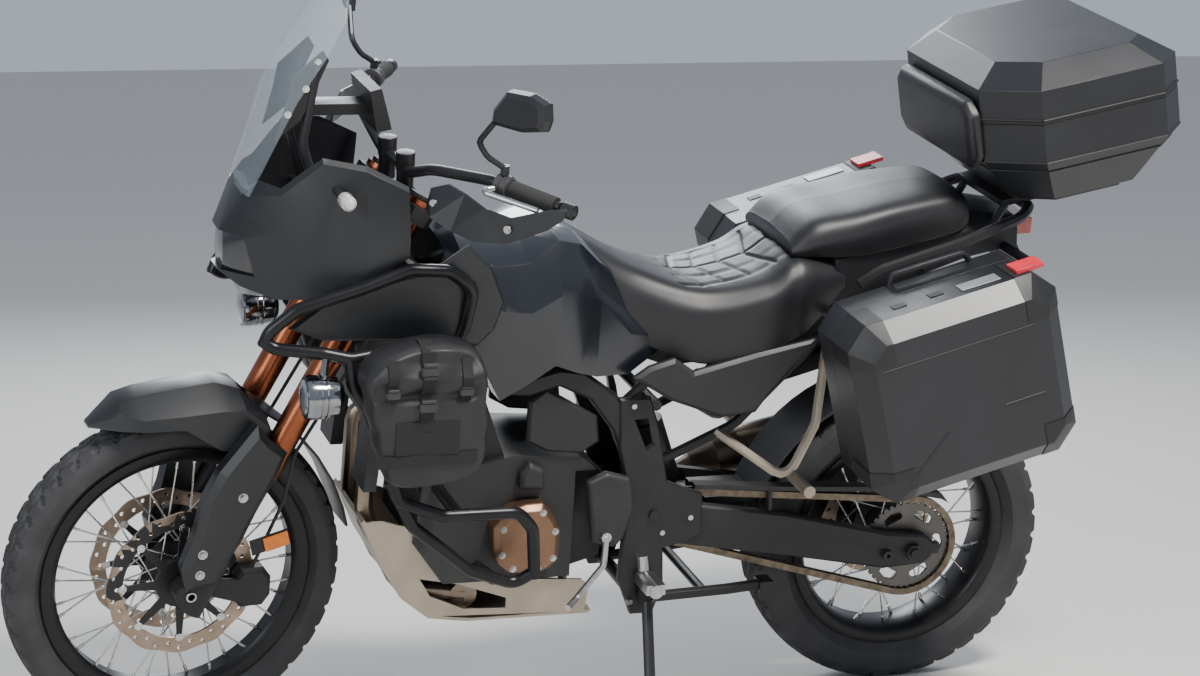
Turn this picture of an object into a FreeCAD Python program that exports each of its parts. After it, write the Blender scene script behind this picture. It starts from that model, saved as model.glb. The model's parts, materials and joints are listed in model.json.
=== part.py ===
"""Adventure motorcycle with hard luggage, leaning on its side stand.

Every piece is drawn in the upright motorcycle's own frame, in millimetres: +X forward,
+Y to the rider's left, +Z up, with the rear axle above the origin. Placements then turn the
steered pieces to the left and lean the whole machine onto its side stand.
"""
import FreeCAD, Part
import math
import os

import Sketcher

V = FreeCAD.Vector
doc = FreeCAD.newDocument("adventure_motorcycle")

# Driving dimensions: name, value in millimetres or degrees, what it is
SIZES = (
    ("wheelbase", 1570, "rear axle to front axle"),
    ("front_radius", 347, "front tyre, 21 inch"),
    ("rear_radius", 333, "rear tyre, 18 inch"),
    ("front_tyre_width", 92, "front tyre section"),
    ("rear_tyre_width", 150, "rear tyre section"),
    ("front_tyre_height", 80, "front tyre section height"),
    ("rear_tyre_height", 104, "rear tyre section height"),
    ("wheel_flats", 60, "flat sides round a tyre and its rim"),
    ("rim_depth", 22, "rim section depth, tyre seat to inner face"),
    ("flange_height", 12, "rim flange above the tyre seat"),
    ("rim_wall", 5, "rim and hub flange wall"),
    ("front_rim_width", 62, "front rim over its flanges"),
    ("rear_rim_width", 112, "rear rim over its flanges"),
    ("bead_gap", 0.3, "tyre bead to rim"),
    ("spoke_radius", 2.2, "wire spoke"),
    ("spoke_seat", 0.6, "spoke end to the rim"),
    ("spoke_pairs", 18, "spoke pairs in a wheel"),
    ("front_hub_radius", 30, "front hub barrel"),
    ("rear_hub_radius", 42, "rear hub barrel"),
    ("front_hub_width", 113, "front hub over its flanges"),
    ("rear_hub_width", 139, "rear hub over its flanges"),
    ("axle_radius", 11, "both wheel axles"),
    ("axle_bore", 7, "hollow front axle"),
    ("running_gap", 0.05, "shaft in its bore"),
    ("seat_gap", 0.3, "piece on the piece that carries it"),
    ("front_disc_radius", 155, "front brake disc"),
    ("rear_disc_radius", 128, "rear brake disc"),
    ("disc_band", 34, "swept band of a brake disc"),
    ("disc_wave", 5, "depth of a disc's wavy edge"),
    ("disc_thickness", 5, "brake disc"),
    ("front_disc_side", 59, "front disc from the centre plane"),
    ("rear_disc_side", 72, "rear disc from the centre plane"),
    ("sprocket_radius", 100.2, "rear sprocket over its teeth"),
    ("sprocket_teeth", 42, "teeth of the rear sprocket"),
    ("tooth_height", 6, "sprocket tooth"),
    ("chain_pitch_radius", 106, "chain line round the rear sprocket"),
    ("chain_pitch", 15.875, "chain roller to roller"),
    ("roller_width", 9.6, "between the chain's inner plates"),
    ("roller_radius", 5, "chain roller"),
    ("link_height", 14, "chain plates"),
    ("link_wall", 4, "chain plates, inner and outer together"),
    ("pinion_pitch_radius", 42, "chain line round the drive sprocket"),
    ("pinion_ahead", 68, "drive sprocket ahead of the swingarm pivot"),
    ("chain_side", 94, "chain line from the centre plane"),
    ("rake", 27.5, "steering axis from the vertical"),
    ("trail", 113, "steering axis ahead of the contact patch"),
    ("steer_rest", 7, "steering turned to the left as parked"),
    ("lean", 11, "lean to the left on the side stand"),
    ("spool_bore", 4, "threaded hole of a paddock stand spool"),
    ("stand_pin", 7, "pins of both stands"),
    ("stand_eye", 24, "side stand's eye along its pin"),
    ("stem_radius", 16, "steering stem"),
    ("panel_wall", 5, "moulded panel"),
    ("fork_offset", 40, "fork legs ahead of the steering axis"),
    ("fork_side", 105, "fork leg from the centre plane"),
    ("fork_radius", 28, "outer fork tube"),
    ("slider_radius", 22.5, "inner fork tube"),
    ("fork_low", 640, "lower end of the outer tubes along the steering axis"),
    ("fork_high", 1272, "upper end of the outer tubes along the steering axis"),
    ("lower_clamp", 1045, "underside of the lower clamp along the steering axis"),
    ("upper_clamp", 1225, "underside of the upper clamp along the steering axis"),
    ("clamp_depth", 34, "both fork clamps"),
    ("bar_radius", 11.1, "handlebar"),
    ("bar_height", 1190, "handlebar clamp above the ground"),
    ("bar_back", 428, "handlebar clamp behind the front axle"),
    ("grip_radius", 17, "rubber grip"),
    ("frame_tube", 16, "frame spars and down tubes"),
    ("guard_tube", 12.7, "crash bar"),
    ("rail_tube", 11, "subframe and luggage rail"),
    ("pivot_x", 600, "swingarm pivot ahead of the rear axle"),
    ("pivot_z", 460, "swingarm pivot above the ground"),
    ("engine_side", 132, "engine case from the centre plane"),
    ("pannier_length", 450, "hard pannier"),
    ("pannier_height", 390, "hard pannier"),
    ("pannier_shell", 88, "inner half of a pannier"),
    ("pannier_lid", 140, "outer half of a pannier"),
    ("pannier_bevel", 38, "bevel round the lid"),
    ("pannier_corner", 46, "corner cut of a pannier"),
    ("pannier_side", 252, "pannier inner face from the centre plane"),
    ("pannier_pitch", 15.5, "pannier nose down"),
    ("case_wall", 4, "wall of a case"),
    ("case_gap", 0.6, "gap between a case and its lid"),
    ("topbox_length", 425, "top box"),
    ("topbox_width", 550, "top box"),
    ("topbox_shell", 200, "lower part of the top box"),
    ("topbox_lid", 112, "lid of the top box"),
    ("topbox_corner", 95, "corner cut of the top box"),
    ("topbox_bevel", 58, "bevel round the top box lid"),
    ("topbox_pitch", 11.5, "top box nose down"),
)

sheet = doc.addObject("Spreadsheet::Sheet", "Sizes")
for row, (name, value, note) in enumerate(SIZES, 1):
    sheet.set(f"A{row}", note)
    sheet.set(f"B{row}", str(value))
    sheet.setAlias(f"B{row}", name)
doc.recompute()
ALIASES = {name for name, value, note in SIZES}


class Sizes:
    """The sheet's cells, read by name."""

    def __getattr__(self, name):
        return float(getattr(sheet, name))


s = Sizes()
BODIES = {"frame": [], "steering": [], "front_wheel": [], "rear_wheel": [], "side_stand": [],
          "centre_stand": [], "topbox_lid": [], "left_lid": [], "right_lid": []}
STEERED = ("steering", "front_wheel")
nodes = []

# The steering axis and the two placements that park the machine
RAKE = math.radians(s.rake)
AXIS_UP = V(-math.sin(RAKE), 0, math.cos(RAKE))
AXIS_AHEAD = V(math.cos(RAKE), 0, math.sin(RAKE))
AXIS_FOOT = V(s.wheelbase + s.trail, 0, 0)
FRONT_AXLE = V(s.wheelbase, 0, s.front_radius)
REAR_AXLE = V(0, 0, s.rear_radius)
steer = FreeCAD.Placement(V(), FreeCAD.Rotation(AXIS_UP, s.steer_rest), AXIS_FOOT)
lean = FreeCAD.Placement(V(0, 0, 0), FreeCAD.Rotation(V(1, 0, 0), -s.lean))


def keep(obj, name, body):
    """Files a finished object as one node of a body, and parks it."""
    obj.Label = name
    turn = lean.multiply(steer) if body in STEERED else lean
    obj.Placement = turn.multiply(obj.Placement)
    BODIES[body].append(name)
    nodes.append(obj)
    return obj


def feature(name, body, shape):
    """A node whose shape is made by Part's own functions."""
    obj = doc.addObject("Part::Feature", name)
    obj.Shape = shape
    return keep(obj, name, body)


def mirrored(shape):
    """The same shape on the machine's other side."""
    return shape.mirror(V(), V(0, 1, 0))


def solids(*shapes):
    return [part for shape in shapes for part in shape.Solids]


def both(*shapes):
    """Left pieces and their mirror images, in one compound."""
    return Part.makeCompound(solids(*shapes) + [part for shape in shapes for part in mirrored(shape).Solids])


def fused(first, *rest):
    return first.fuse(list(rest)).removeSplitter()


def front(ahead, side, up):
    """A point given from the front axle's place on the ground."""
    return V(s.wheelbase + ahead, side, up)


def axis_point(along, ahead=0.0, side=0.0):
    """A point given along, ahead of and beside the steering axis."""
    return AXIS_FOOT + AXIS_UP * along + AXIS_AHEAD * ahead + V(0, side, 0)


def rod(a, b, radius):
    a, b = V(a), V(b)
    return Part.makeCylinder(radius, (b - a).Length, a, b - a)


def along_rod(low, high, radius, ahead=0.0, side=0.0):
    return rod(axis_point(low, ahead, side), axis_point(high, ahead, side), radius)


def block(low, high):
    low, high = V(low), V(high)
    return Part.makeBox(high.x - low.x, high.y - low.y, high.z - low.z, low)


# Flat-sided solids: each is a row of rings of corners, with flat faces from ring to ring

def flat_faces(corners):
    """One face through four corners, or two triangles where they don't lie in a plane."""
    a, b, c, d = corners
    normal = (b - a).cross(c - a)
    twist = abs((d - a).dot(normal)) / max(normal.Length, 1e-9)
    if twist < 1e-4:
        split = ((a, b, c, d),)
    else:
        split = ((a, b, c), (a, c, d)) if (c - a).Length < (d - b).Length else ((a, b, d), (b, c, d))
    return [Part.Face(Part.makePolygon([*loop, loop[0]])) for loop in split]


def skin(rings, hoop=False):
    """A solid through rings of corners, closed into a hoop or capped at both ends."""
    rings = [[V(corner) for corner in ring] for ring in rings]
    following = rings[1:] + rings[:1] if hoop else rings[1:]
    faces = []
    for near, far in zip(rings, following):
        for i, corner in enumerate(near):
            j = (i + 1) % len(near)
            if (corner - near[j]).Length > 1e-6 or (far[i] - far[j]).Length > 1e-6:
                faces += flat_faces((corner, near[j], far[j], far[i]))
    for ring in () if hoop else (rings[0], rings[-1]):
        faces += flat_faces(ring) if len(ring) == 4 else [Part.Face(Part.makePolygon(ring + ring[:1]))]
    solid = Part.makeSolid(Part.makeShell(faces))
    if solid.Volume < 0:
        solid.reverse()
    return solid


def turned(profile, sides, centre):
    """A profile of (radius, side) points carried round the wheel's axle in flat steps."""
    rings = []
    for step in range(int(sides)):
        angle = math.tau * (step + 0.5) / sides
        rings.append([centre + V(r * math.cos(angle), y, r * math.sin(angle)) for r, y in profile])
    return skin(rings, hoop=True)


def bar(a, b, radius, sides=8, end=None):
    """A straight bar with flat sides, tapered where its end has a radius of its own."""
    a, b = V(a), V(b)
    taper = (end or radius) / radius
    ring = Part.makeCircle(radius, a, b - a)
    corners = [ring.valueAt(math.tau * i / sides) for i in range(sides)]
    return skin([corners, [b + (corner - a) * taper for corner in corners]])


def rounded(points, bend, step=36.0):
    """The same route with each corner taken in short straight steps."""
    points = [V(p) for p in points]
    route = [points[0]]
    for before, corner, after in zip(points, points[1:], points[2:]):
        into, out = (corner - before).normalize(), (after - corner).normalize()
        turn = into.getAngle(out)
        room = 0.45 * min((corner - before).Length, (after - corner).Length)
        reach = min(bend * math.tan(turn / 2), room)
        radius = reach / math.tan(turn / 2)
        centre = corner + (out - into).normalize() * (radius / math.cos(turn / 2))
        arm = corner - into * reach - centre
        axis = into.cross(out)
        count = max(1, math.ceil(math.degrees(turn) / step))
        for i in range(count + 1):
            swing = FreeCAD.Rotation(axis, math.degrees(turn) * i / count)
            route.append(centre + swing.multVec(arm))
    return route + [points[-1]]


def tube(points, radius, bend=60.0, sides=8):
    """A bent tube with flat sides and mitred steps round its bends."""
    route = rounded(points, bend)
    ring = Part.makeCircle(radius, route[0], route[1] - route[0])
    rings = [[ring.valueAt(math.tau * i / sides) for i in range(sides)]]
    for before, here, after in zip(route, route[1:], route[2:] + [None]):
        ahead = (here - before).normalize()
        mitre = ahead + (after - here).normalize() if after else ahead
        rings.append([corner + ahead * ((here - corner).dot(mitre) / ahead.dot(mitre)) for corner in rings[-1]])
    return skin(rings)


def inset(points, by):
    """A flat outline of (x, z) points drawn in by an even margin."""
    count = len(points)
    area = sum(points[i - 1][0] * points[i][1] - points[i][0] * points[i - 1][1] for i in range(count))
    inward = 1 if area > 0 else -1
    moved = []
    for i, (x, z) in enumerate(points):
        (x0, z0), (x1, z1) = points[i - 1], points[(i + 1) % count]
        into, out = V(x - x0, z - z0, 0).normalize(), V(x1 - x, z1 - z, 0).normalize()
        normal = V(-into.y - out.y, into.x + out.x, 0).normalize() * inward
        grow = by / max(0.5, math.cos(into.getAngle(out) / 2))
        moved.append((x + normal.x * grow, z + normal.y * grow))
    return moved


def panel(points, side, thickness, bevel=0.0):
    """A side-view outline of (x, z) points, side to side plus thickness, with a bevelled outer edge."""
    edge = math.copysign(bevel, thickness)
    views = [(side, points), (side + thickness - edge, points)]
    if bevel:
        views.append((side + thickness, inset(points, bevel)))
    return skin([[V(x, y, z) for x, z in view] for y, view in views])


def section(ahead, half):
    """A closed cross-section of (y, z) points of the left half, from the top centre down, mirrored."""
    left = [V(ahead, y, z) for y, z in half]
    return left + [V(p.x, -p.y, p.z) for p in reversed(left) if p.y > 1e-6]


def form(sections, shift=0.0):
    """A moulded form through its cross-sections."""
    return skin([section(shift + x, half) for x, half in sections])


# Sketches and bodies

def formula(text):
    """Puts the sheet's name before each size in a formula."""
    return " ".join(f"Sizes.{word}" if word in ALIASES else word for word in text.split())


def worth(value):
    """What a number or a formula of sizes comes to."""
    if not isinstance(value, str):
        return float(value)
    words = [str(getattr(s, word)) if word in ALIASES else word for word in value.split()]
    return FreeCAD.Units.Quantity(" ".join(words)).Value


def draw(body, plane, loops=(), circles=()):
    """A sketch on one of a body's own planes. A coordinate is a number or a formula of sizes."""
    sketch = body.newObject("Sketcher::SketchObject", "Sketch")
    origin = next(f for f in body.Origin.OriginFeatures if f.Role == plane)
    sketch.AttachmentSupport = [(origin, "")]
    sketch.MapMode = "FlatFace"

    def pin(geometry, point, x, y):
        for kind, value, axis in (("DistanceX", x, -2), ("DistanceY", y, -1)):
            if abs(worth(value)) < 1e-9:
                sketch.addConstraint(Sketcher.Constraint("PointOnObject", geometry, point, axis))
                continue
            index = sketch.addConstraint(Sketcher.Constraint(kind, -1, 1, geometry, point, worth(value)))
            if isinstance(value, str):
                sketch.setExpression(f"Constraints[{index}]", formula(value))

    for loop in loops:
        corners = [V(worth(x), worth(y), 0) for x, y in loop]
        first = sketch.GeometryCount
        for i, corner in enumerate(corners):
            sketch.addGeometry(Part.LineSegment(corner, corners[(i + 1) % len(corners)]))
        for i, (x, y) in enumerate(loop):
            pin(first + i, 1, x, y)
            before = first + (i - 1) % len(loop)
            sketch.addConstraint(Sketcher.Constraint("Coincident", before, 2, first + i, 1))
    for x, y, radius in circles:
        index = sketch.addGeometry(Part.Circle(V(worth(x), worth(y), 0), V(0, 0, 1), worth(radius)))
        pin(index, 3, x, y)
        size = sketch.addConstraint(Sketcher.Constraint("Radius", index, worth(radius)))
        if isinstance(radius, str):
            sketch.setExpression(f"Constraints[{size}]", formula(radius))
    return sketch


def new_body(name):
    return doc.addObject("PartDesign::Body", name)


def padded(body, kind, sketch, length, middle=False):
    """A Pad or a Pocket of a sketch."""
    made = body.newObject(f"PartDesign::{kind}", kind)
    made.Profile = sketch
    made.Length = worth(length)
    made.setExpression("Length", formula(length))
    made.Midplane = middle
    doc.recompute()
    return made


def body_axis(body, role):
    return next(f for f in body.Origin.OriginFeatures if f.Role == role)


def revolve(body, sketch, role):
    made = body.newObject("PartDesign::Revolution", "Revolution")
    made.Profile = sketch
    made.ReferenceAxis = (body_axis(body, role), [""])
    made.Angle = 360
    doc.recompute()
    return made


def polar(body, original, count, role):
    made = body.newObject("PartDesign::PolarPattern", "PolarPattern")
    made.Originals = [original]
    made.Axis = (body_axis(body, role), [""])
    made.Angle = 360
    made.Occurrences = int(count)
    body.Tip = made
    doc.recompute()
    return made


def placed(obj, base, turn=None):
    obj.Placement = FreeCAD.Placement(V(base), turn or FreeCAD.Rotation())
    return obj


def twin(obj):
    """The mirror image of a left-hand object."""
    made = doc.addObject("Part::Mirroring", f"{obj.Name}_twin")
    made.Source = obj
    made.Normal = V(0, 1, 0)
    return made


def plain(name, shape):
    """A piece of a node whose shape is made by Part's own functions."""
    obj = doc.addObject("Part::Feature", name)
    obj.Shape = shape
    return obj


def grouped(name, body, parts, base=None):
    """One node of several objects, as solids of their own."""
    group = doc.addObject("Part::Compound", name)
    group.Links = parts
    doc.recompute()
    if base is not None:
        placed(group, base)
    return keep(group, name, body)


# Wheels

def both_sides(points):
    """Profile points of the left half, then the same ones on the right half."""
    return points + [(r, -y) for r, y in reversed(points)]


def spokes(rim_reach, hub_reach, hub_side, rim_side, centre):
    """Crossed wire spokes from both hub flanges to the rim."""
    wires = []
    pairs = int(s.spoke_pairs)
    for i in range(pairs * 2):
        side = 1 if i % 2 else -1
        angle = math.radians(i * 180 / pairs)
        lead = math.radians(52 if (i // 2) % 2 else -52)
        hub_end = V(hub_reach * math.cos(angle + lead), side * hub_side, hub_reach * math.sin(angle + lead))
        rim_end = V(rim_reach * math.cos(angle), side * rim_side, rim_reach * math.sin(angle))
        wires.append(bar(centre + hub_end, centre + rim_end, s.spoke_radius, 4))
    return wires


def wheel(end, axle, radius, height, width, rim_width, hub_radius, hub_width):
    """One tyre and its wire wheel."""
    seat, half, lip = radius - height, width / 2, rim_width / 2
    carcass = both_sides([(seat, lip - 6), (seat + s.flange_height + 1, lip - 5.5), (seat + height * 0.32, half - 3),
                          (seat + height * 0.55, half), (radius - height * 0.24, half - 6),
                          (radius - 4, width * 0.24)])
    feature(f"{end}_tyre", f"{end}_wheel", turned(carcass, s.wheel_flats, axle))

    lips = [(seat - s.rim_depth, rim_width * 0.3), (seat - s.rim_wall, lip), (seat + s.flange_height, lip),
            (seat + s.flange_height, lip - 4), (seat - s.bead_gap, lip - 5), (seat - s.bead_gap, rim_width * 0.38),
            (seat - s.rim_depth + s.rim_wall, rim_width * 0.26)]
    hoop = plain(f"{end}_rim", turned(both_sides(lips), s.wheel_flats, axle))

    hub = new_body(f"{end}_hub")
    barrel = [("axle_radius + running_gap", f"{end}_hub_width / 2"),
              (f"{end}_hub_radius + 6", f"{end}_hub_width / 2"),
              (f"{end}_hub_radius + 16", f"{end}_hub_width / 2 - 12"),
              (f"{end}_hub_radius + 16", f"{end}_hub_width / 2 - 20"),
              (f"{end}_hub_radius", f"{end}_hub_width / 2 - 30")]
    other = [(x, f"0 - ( {y} )") for x, y in reversed(barrel)]
    revolve(hub, draw(hub, "XY_Plane", [barrel + other]), "Y_Axis")
    placed(hub, axle)
    reach = (seat - s.rim_depth) * math.cos(math.pi / s.wheel_flats) - s.spoke_seat
    wires = spokes(reach, hub_radius + 16 + s.spoke_radius, hub_width / 2 - 16, rim_width * 0.2, axle)
    laced = plain(f"{end}_spokes", Part.makeCompound(wires))
    grouped(f"{end}_wire_wheel", f"{end}_wheel", [hoop, hub, laced])


wheel("front", FRONT_AXLE, s.front_radius, s.front_tyre_height, s.front_tyre_width, s.front_rim_width,
      s.front_hub_radius, s.front_hub_width)
wheel("rear", REAR_AXLE, s.rear_radius, s.rear_tyre_height, s.rear_tyre_width, s.rear_rim_width,
      s.rear_hub_radius, s.rear_hub_width)


def loop_face(centre, points):
    """A flat face in the side view from (distance, degrees) points about a centre."""
    corners = [centre + V(r * math.cos(math.radians(a)), 0, r * math.sin(math.radians(a))) for r, a in points]
    return Part.Face(Part.makePolygon(corners + corners[:1]))


def disc(radius, centre, petals, holes):
    """A brake disc with a petal edge, drilled in pairs all round."""
    middle = centre - V(0, s.disc_thickness / 2, 0)
    edge = [(radius - s.disc_wave / 2 + s.disc_wave / 2 * math.cos(math.radians(petals * a)), a)
            for a in range(0, 360, 5)]
    ring = loop_face(middle, edge).cut(loop_face(middle, [(radius - s.disc_band, a) for a in range(0, 360, 10)]))
    drilled = []
    for i in range(holes):
        turn = math.radians(360 * i / holes)
        reach = radius - s.disc_band * (0.38 if i % 2 else 0.66)
        place = middle + V(reach * math.cos(turn), 0, reach * math.sin(turn))
        drilled.append(loop_face(place, [(4.5, a) for a in range(0, 360, 60)]))
    return ring.cut(drilled).extrude(V(0, s.disc_thickness, 0))


def spider(name, radius, hub_radius, arms):
    """The carrier that holds a brake disc on its hub."""
    made = new_body(name)
    ring = draw(made, "XZ_Plane", circles=[(0, 0, f"{hub_radius} + 22"), (0, 0, f"{hub_radius} - 8")])
    padded(made, "Pad", ring, "disc_thickness", middle=True)
    arm = draw(made, "XZ_Plane", [[(f"{hub_radius} + 10", -10), (f"{radius} - disc_band - 0.6", -5),
                                   (f"{radius} - disc_band - 0.6", 5), (f"{hub_radius} + 10", 10)]])
    arm_pad = padded(made, "Pad", arm, "disc_thickness", middle=True)
    polar(made, arm_pad, arms, "Y_Axis")
    return made


front_disc_centre = FRONT_AXLE + V(0, s.front_disc_side, 0)
front_disc = plain("front_disc_left", disc(s.front_disc_radius, front_disc_centre, 12, 36))
front_spider = placed(spider("front_spider_left", "front_disc_radius", "front_hub_radius", 8), front_disc_centre)
grouped("front_discs", "front_wheel", [front_disc, twin(front_disc), front_spider, twin(front_spider)])

rear_disc_centre = REAR_AXLE - V(0, s.rear_disc_side, 0)
rear_disc = plain("rear_disc_ring", disc(s.rear_disc_radius, rear_disc_centre, 10, 30))
rear_spider = placed(spider("rear_spider", "rear_disc_radius", "rear_hub_radius", 6), rear_disc_centre)
grouped("rear_disc", "rear_wheel", [rear_disc, rear_spider])

SPROCKET = REAR_AXLE + V(0, s.chain_side, 0)
half_sprocket = s.disc_thickness / 2
teeth = []
for tooth in range(int(s.sprocket_teeth)):
    step = 360 / s.sprocket_teeth
    for share, drop in ((0.0, s.tooth_height), (0.2, s.tooth_height), (0.4, 0), (0.8, 0)):
        teeth.append((s.sprocket_radius - drop, (tooth + share) * step))
toothed = loop_face(SPROCKET - V(0, half_sprocket, 0), teeth)
for window in range(6):
    facing = window * 60
    toothed = toothed.cut(loop_face(SPROCKET - V(0, half_sprocket, 0), [
        (64, facing - 16), (70, facing - 18), (80, facing - 14), (84, facing), (80, facing + 14), (70, facing + 18),
        (64, facing + 16)]))
toothed = toothed.cut(loop_face(SPROCKET - V(0, half_sprocket, 0), [(30, a) for a in range(0, 360, 15)]))
toothed_ring = plain("toothed_ring", toothed.extrude(V(0, s.disc_thickness, 0)))
cush = new_body("sprocket_carrier")
cush_ring = draw(cush, "XY_Plane", [[("axle_radius + running_gap", "rear_hub_width / 2"),
                                     ("rear_hub_radius + 20", "rear_hub_width / 2"),
                                     ("rear_hub_radius + 8", "chain_side - disc_thickness / 2 - 0.5"),
                                     ("axle_radius + running_gap", "chain_side - disc_thickness / 2 - 0.5")]])
revolve(cush, cush_ring, "Y_Axis")
placed(cush, REAR_AXLE)
grouped("rear_sprocket", "rear_wheel", [toothed_ring, cush])

# Steered pieces, drawn about the steering axis

steering_frame = FreeCAD.Placement(AXIS_FOOT, FreeCAD.Rotation(V(0, 1, 0), -s.rake))
AXLE_ALONG = (FRONT_AXLE - AXIS_FOOT).dot(AXIS_UP)


def clamp(name, height):
    """A fork clamp: one plate with a bore for each leg."""
    made = new_body(name)
    half = [("fork_offset + 40", "fork_side + 18"), ("fork_offset + 18", "fork_side + 40"),
            ("fork_offset - 20", "fork_side + 40"), ("fork_offset - 42", "fork_side + 16"), (-34, 40)]
    other = [(x, f"0 - ( {y} )") for x, y in reversed(half)]
    ring = draw(made, "XY_Plane", [half + other],
                circles=[("fork_offset", "fork_side", "fork_radius + running_gap"),
                         ("fork_offset", "0 - fork_side", "fork_radius + running_gap"),
                         (0, 0, "stem_radius + running_gap")])
    padded(made, "Pad", ring, "clamp_depth")
    made.Placement = steering_frame.multiply(FreeCAD.Placement(V(0, 0, height), FreeCAD.Rotation()))
    return made


stem = plain("steering_stem", along_rod(s.lower_clamp, s.upper_clamp + s.clamp_depth, s.stem_radius))
grouped("triple_clamps", "steering", [clamp("lower_clamp_plate", s.lower_clamp),
                                      clamp("upper_clamp_plate", s.upper_clamp), stem])

leg = along_rod(s.fork_low, s.fork_high, s.fork_radius, s.fork_offset, s.fork_side)
leg = leg.cut(along_rod(s.fork_low - 1, s.fork_high - 30, s.slider_radius + 0.5, s.fork_offset, s.fork_side))
feature("fork_tubes", "steering", both(leg))

slider = along_rod(AXLE_ALONG - 30, s.fork_low + 200, s.slider_radius, s.fork_offset, s.fork_side)
lug = along_rod(AXLE_ALONG - 36, AXLE_ALONG + 90, s.fork_radius - 1, s.fork_offset, s.fork_side)
ear = bar(FRONT_AXLE + V(0, s.fork_side - 22, 0), FRONT_AXLE + V(0, s.fork_side + 22, 0), 31, 20)
boot = fused(slider, lug, ear).cut(rod(FRONT_AXLE, FRONT_AXLE + V(0, 200, 0), s.axle_radius + s.running_gap))
feature("fork_lowers", "steering", both(boot))

axle_end = V(0, s.fork_side + 26, 0)
front_shaft = rod(FRONT_AXLE - axle_end, FRONT_AXLE + axle_end, s.axle_radius)
collar = bar(FRONT_AXLE + V(0, s.front_hub_width / 2 + s.seat_gap, 0),
             FRONT_AXLE + V(0, s.fork_side - s.fork_radius + 1, 0), s.axle_radius + 7, 16)
front_shaft = fused(front_shaft, collar, mirrored(collar))
front_shaft = front_shaft.cut(rod(FRONT_AXLE - V(0, 200, 0), FRONT_AXLE + V(0, 200, 0), s.axle_bore))
feature("front_axle", "steering", front_shaft)

disc_grip = 0.5 * s.disc_thickness + 3
caliper_centre = FRONT_AXLE + V(-(s.front_disc_radius - 26), 0, -12)
caliper_low = caliper_centre + V(-48, s.front_disc_side - 20, -42)
caliper_high = caliper_centre + V(26, s.fork_side - 7, 42)
caliper = skin([[V(x, y, z) for x, z in inset([
    (caliper_low.x, caliper_low.z + 22), (caliper_low.x + 16, caliper_low.z), (caliper_high.x - 12, caliper_low.z),
    (caliper_high.x, caliper_low.z + 14), (caliper_high.x, caliper_high.z - 14), (caliper_high.x - 12, caliper_high.z),
    (caliper_low.x + 16, caliper_high.z), (caliper_low.x, caliper_high.z - 22)], by)]
    for y, by in ((caliper_low.y, 6), (caliper_low.y + 8, 0), (caliper_high.y - 9, 0), (caliper_high.y, 9))])
slot = block(caliper_centre + V(-32, s.front_disc_side - disc_grip, -60),
             caliper_centre + V(60, s.front_disc_side + disc_grip, 60))
bracket = panel([(s.wheelbase - 130, 355), (s.wheelbase - 50, 365), (s.wheelbase - 30, 335), (s.wheelbase - 130, 300)],
                s.fork_side - 18, 11)
boot_room = fused(along_rod(AXLE_ALONG - 60, s.fork_low + 10, s.fork_radius - 1 + s.seat_gap, s.fork_offset, s.fork_side),
                  bar(FRONT_AXLE + V(0, 60, 0), FRONT_AXLE + V(0, 200, 0), 31 + s.seat_gap, 20))
caliper = fused(caliper.cut(slot), bracket).cut(boot_room)
feature("front_calipers", "steering", both(caliper))

hose_top = axis_point(s.lower_clamp + 6, s.fork_offset - 46, s.fork_side + 8)
hose = tube([hose_top, axis_point(s.lower_clamp - 60, s.fork_offset - 58, s.fork_side - 6),
             axis_point(s.fork_low + 60, s.fork_offset - 44, s.fork_side - 12),
             axis_point(s.fork_low - 40, s.fork_offset - 78, s.fork_side - 20),
             caliper_centre + V(-34, s.fork_side - 22, 96), caliper_centre + V(-10, s.fork_side - 22, 41.4)], 4, 40, 6)
hose = hose.cut(caliper).cut(skin([[axis_point(s.lower_clamp + up, ahead, side) for ahead, side in (
    (-60, 0), (140, 0), (140, 200), (-60, 200))] for up in (-s.seat_gap, s.clamp_depth)]))
feature("brake_hoses", "steering", both(hose))

# Fender, flap and fork guards. Sections are x ahead of the axle, then (y, z) from the crest to the edge.

FENDER = ((186, ((0, 689), (8, 688), (14, 687), (16, 682))), (130, ((0, 736), (30, 735), (52, 716), (60, 686))),
          (90, ((0, 748), (30, 746), (78, 712), (84, 690))), (11, ((0, 758), (32, 755), (88, 718), (92, 690))),
          (-60, ((0, 766), (34, 763), (90, 722), (99, 643))), (-110, ((0, 752), (40, 748), (92, 722), (102, 640))),
          (-160, ((0, 706), (50, 700), (96, 682), (100, 640))))
hollow = [(x - 8, [(max(y - s.panel_wall, 0), z - s.panel_wall) for y, z in half[:3]]
           + [(half[3][0] - s.panel_wall, half[3][1] - 40)]) for x, half in FENDER]
fender = form(FENDER, s.wheelbase).cut(form(hollow, s.wheelbase))
FLAP = ((-148, 702), (-190, 674), (-232, 638), (-274, 590), (-308, 534), (-334, 472), (-345, 430))
flap = skin([[front(x, y, z) for x, z, y in ((x0, z0, 58), (x0, z0, -58), (x0 - 4, z0 + 3, -58), (x0 - 4, z0 + 3, 58))]
             for x0, z0 in FLAP])
leg_room = fused(along_rod(s.fork_low - 1, s.fork_high, s.fork_radius + s.seat_gap, s.fork_offset, s.fork_side),
                 along_rod(AXLE_ALONG - 60, s.fork_low, s.fork_radius - 1 + s.seat_gap, s.fork_offset, s.fork_side))
hub_room = bar(FRONT_AXLE + V(0, 60, 0), FRONT_AXLE + V(0, s.fork_side + 27, 0), 31 + s.seat_gap, 20)
GUARD = ((-46, 615), (-120, 707), (-148, 672), (-183, 643), (-163, 594), (-125, 523), (-95, 458), (-82, 438),
         (-45, 372), (15, 364), (26, 413), (-2, 490), (-15, 554))
guard_view = [(s.wheelbase + x, z) for x, z in GUARD]
guard_rings = [(s.fork_side - 1, 3), (s.fork_side + 30, 0), (s.fork_side + 42, 14)]
guard = skin([[V(x, y, z) for x, z in inset(guard_view, by)] for y, by in guard_rings])
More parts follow.
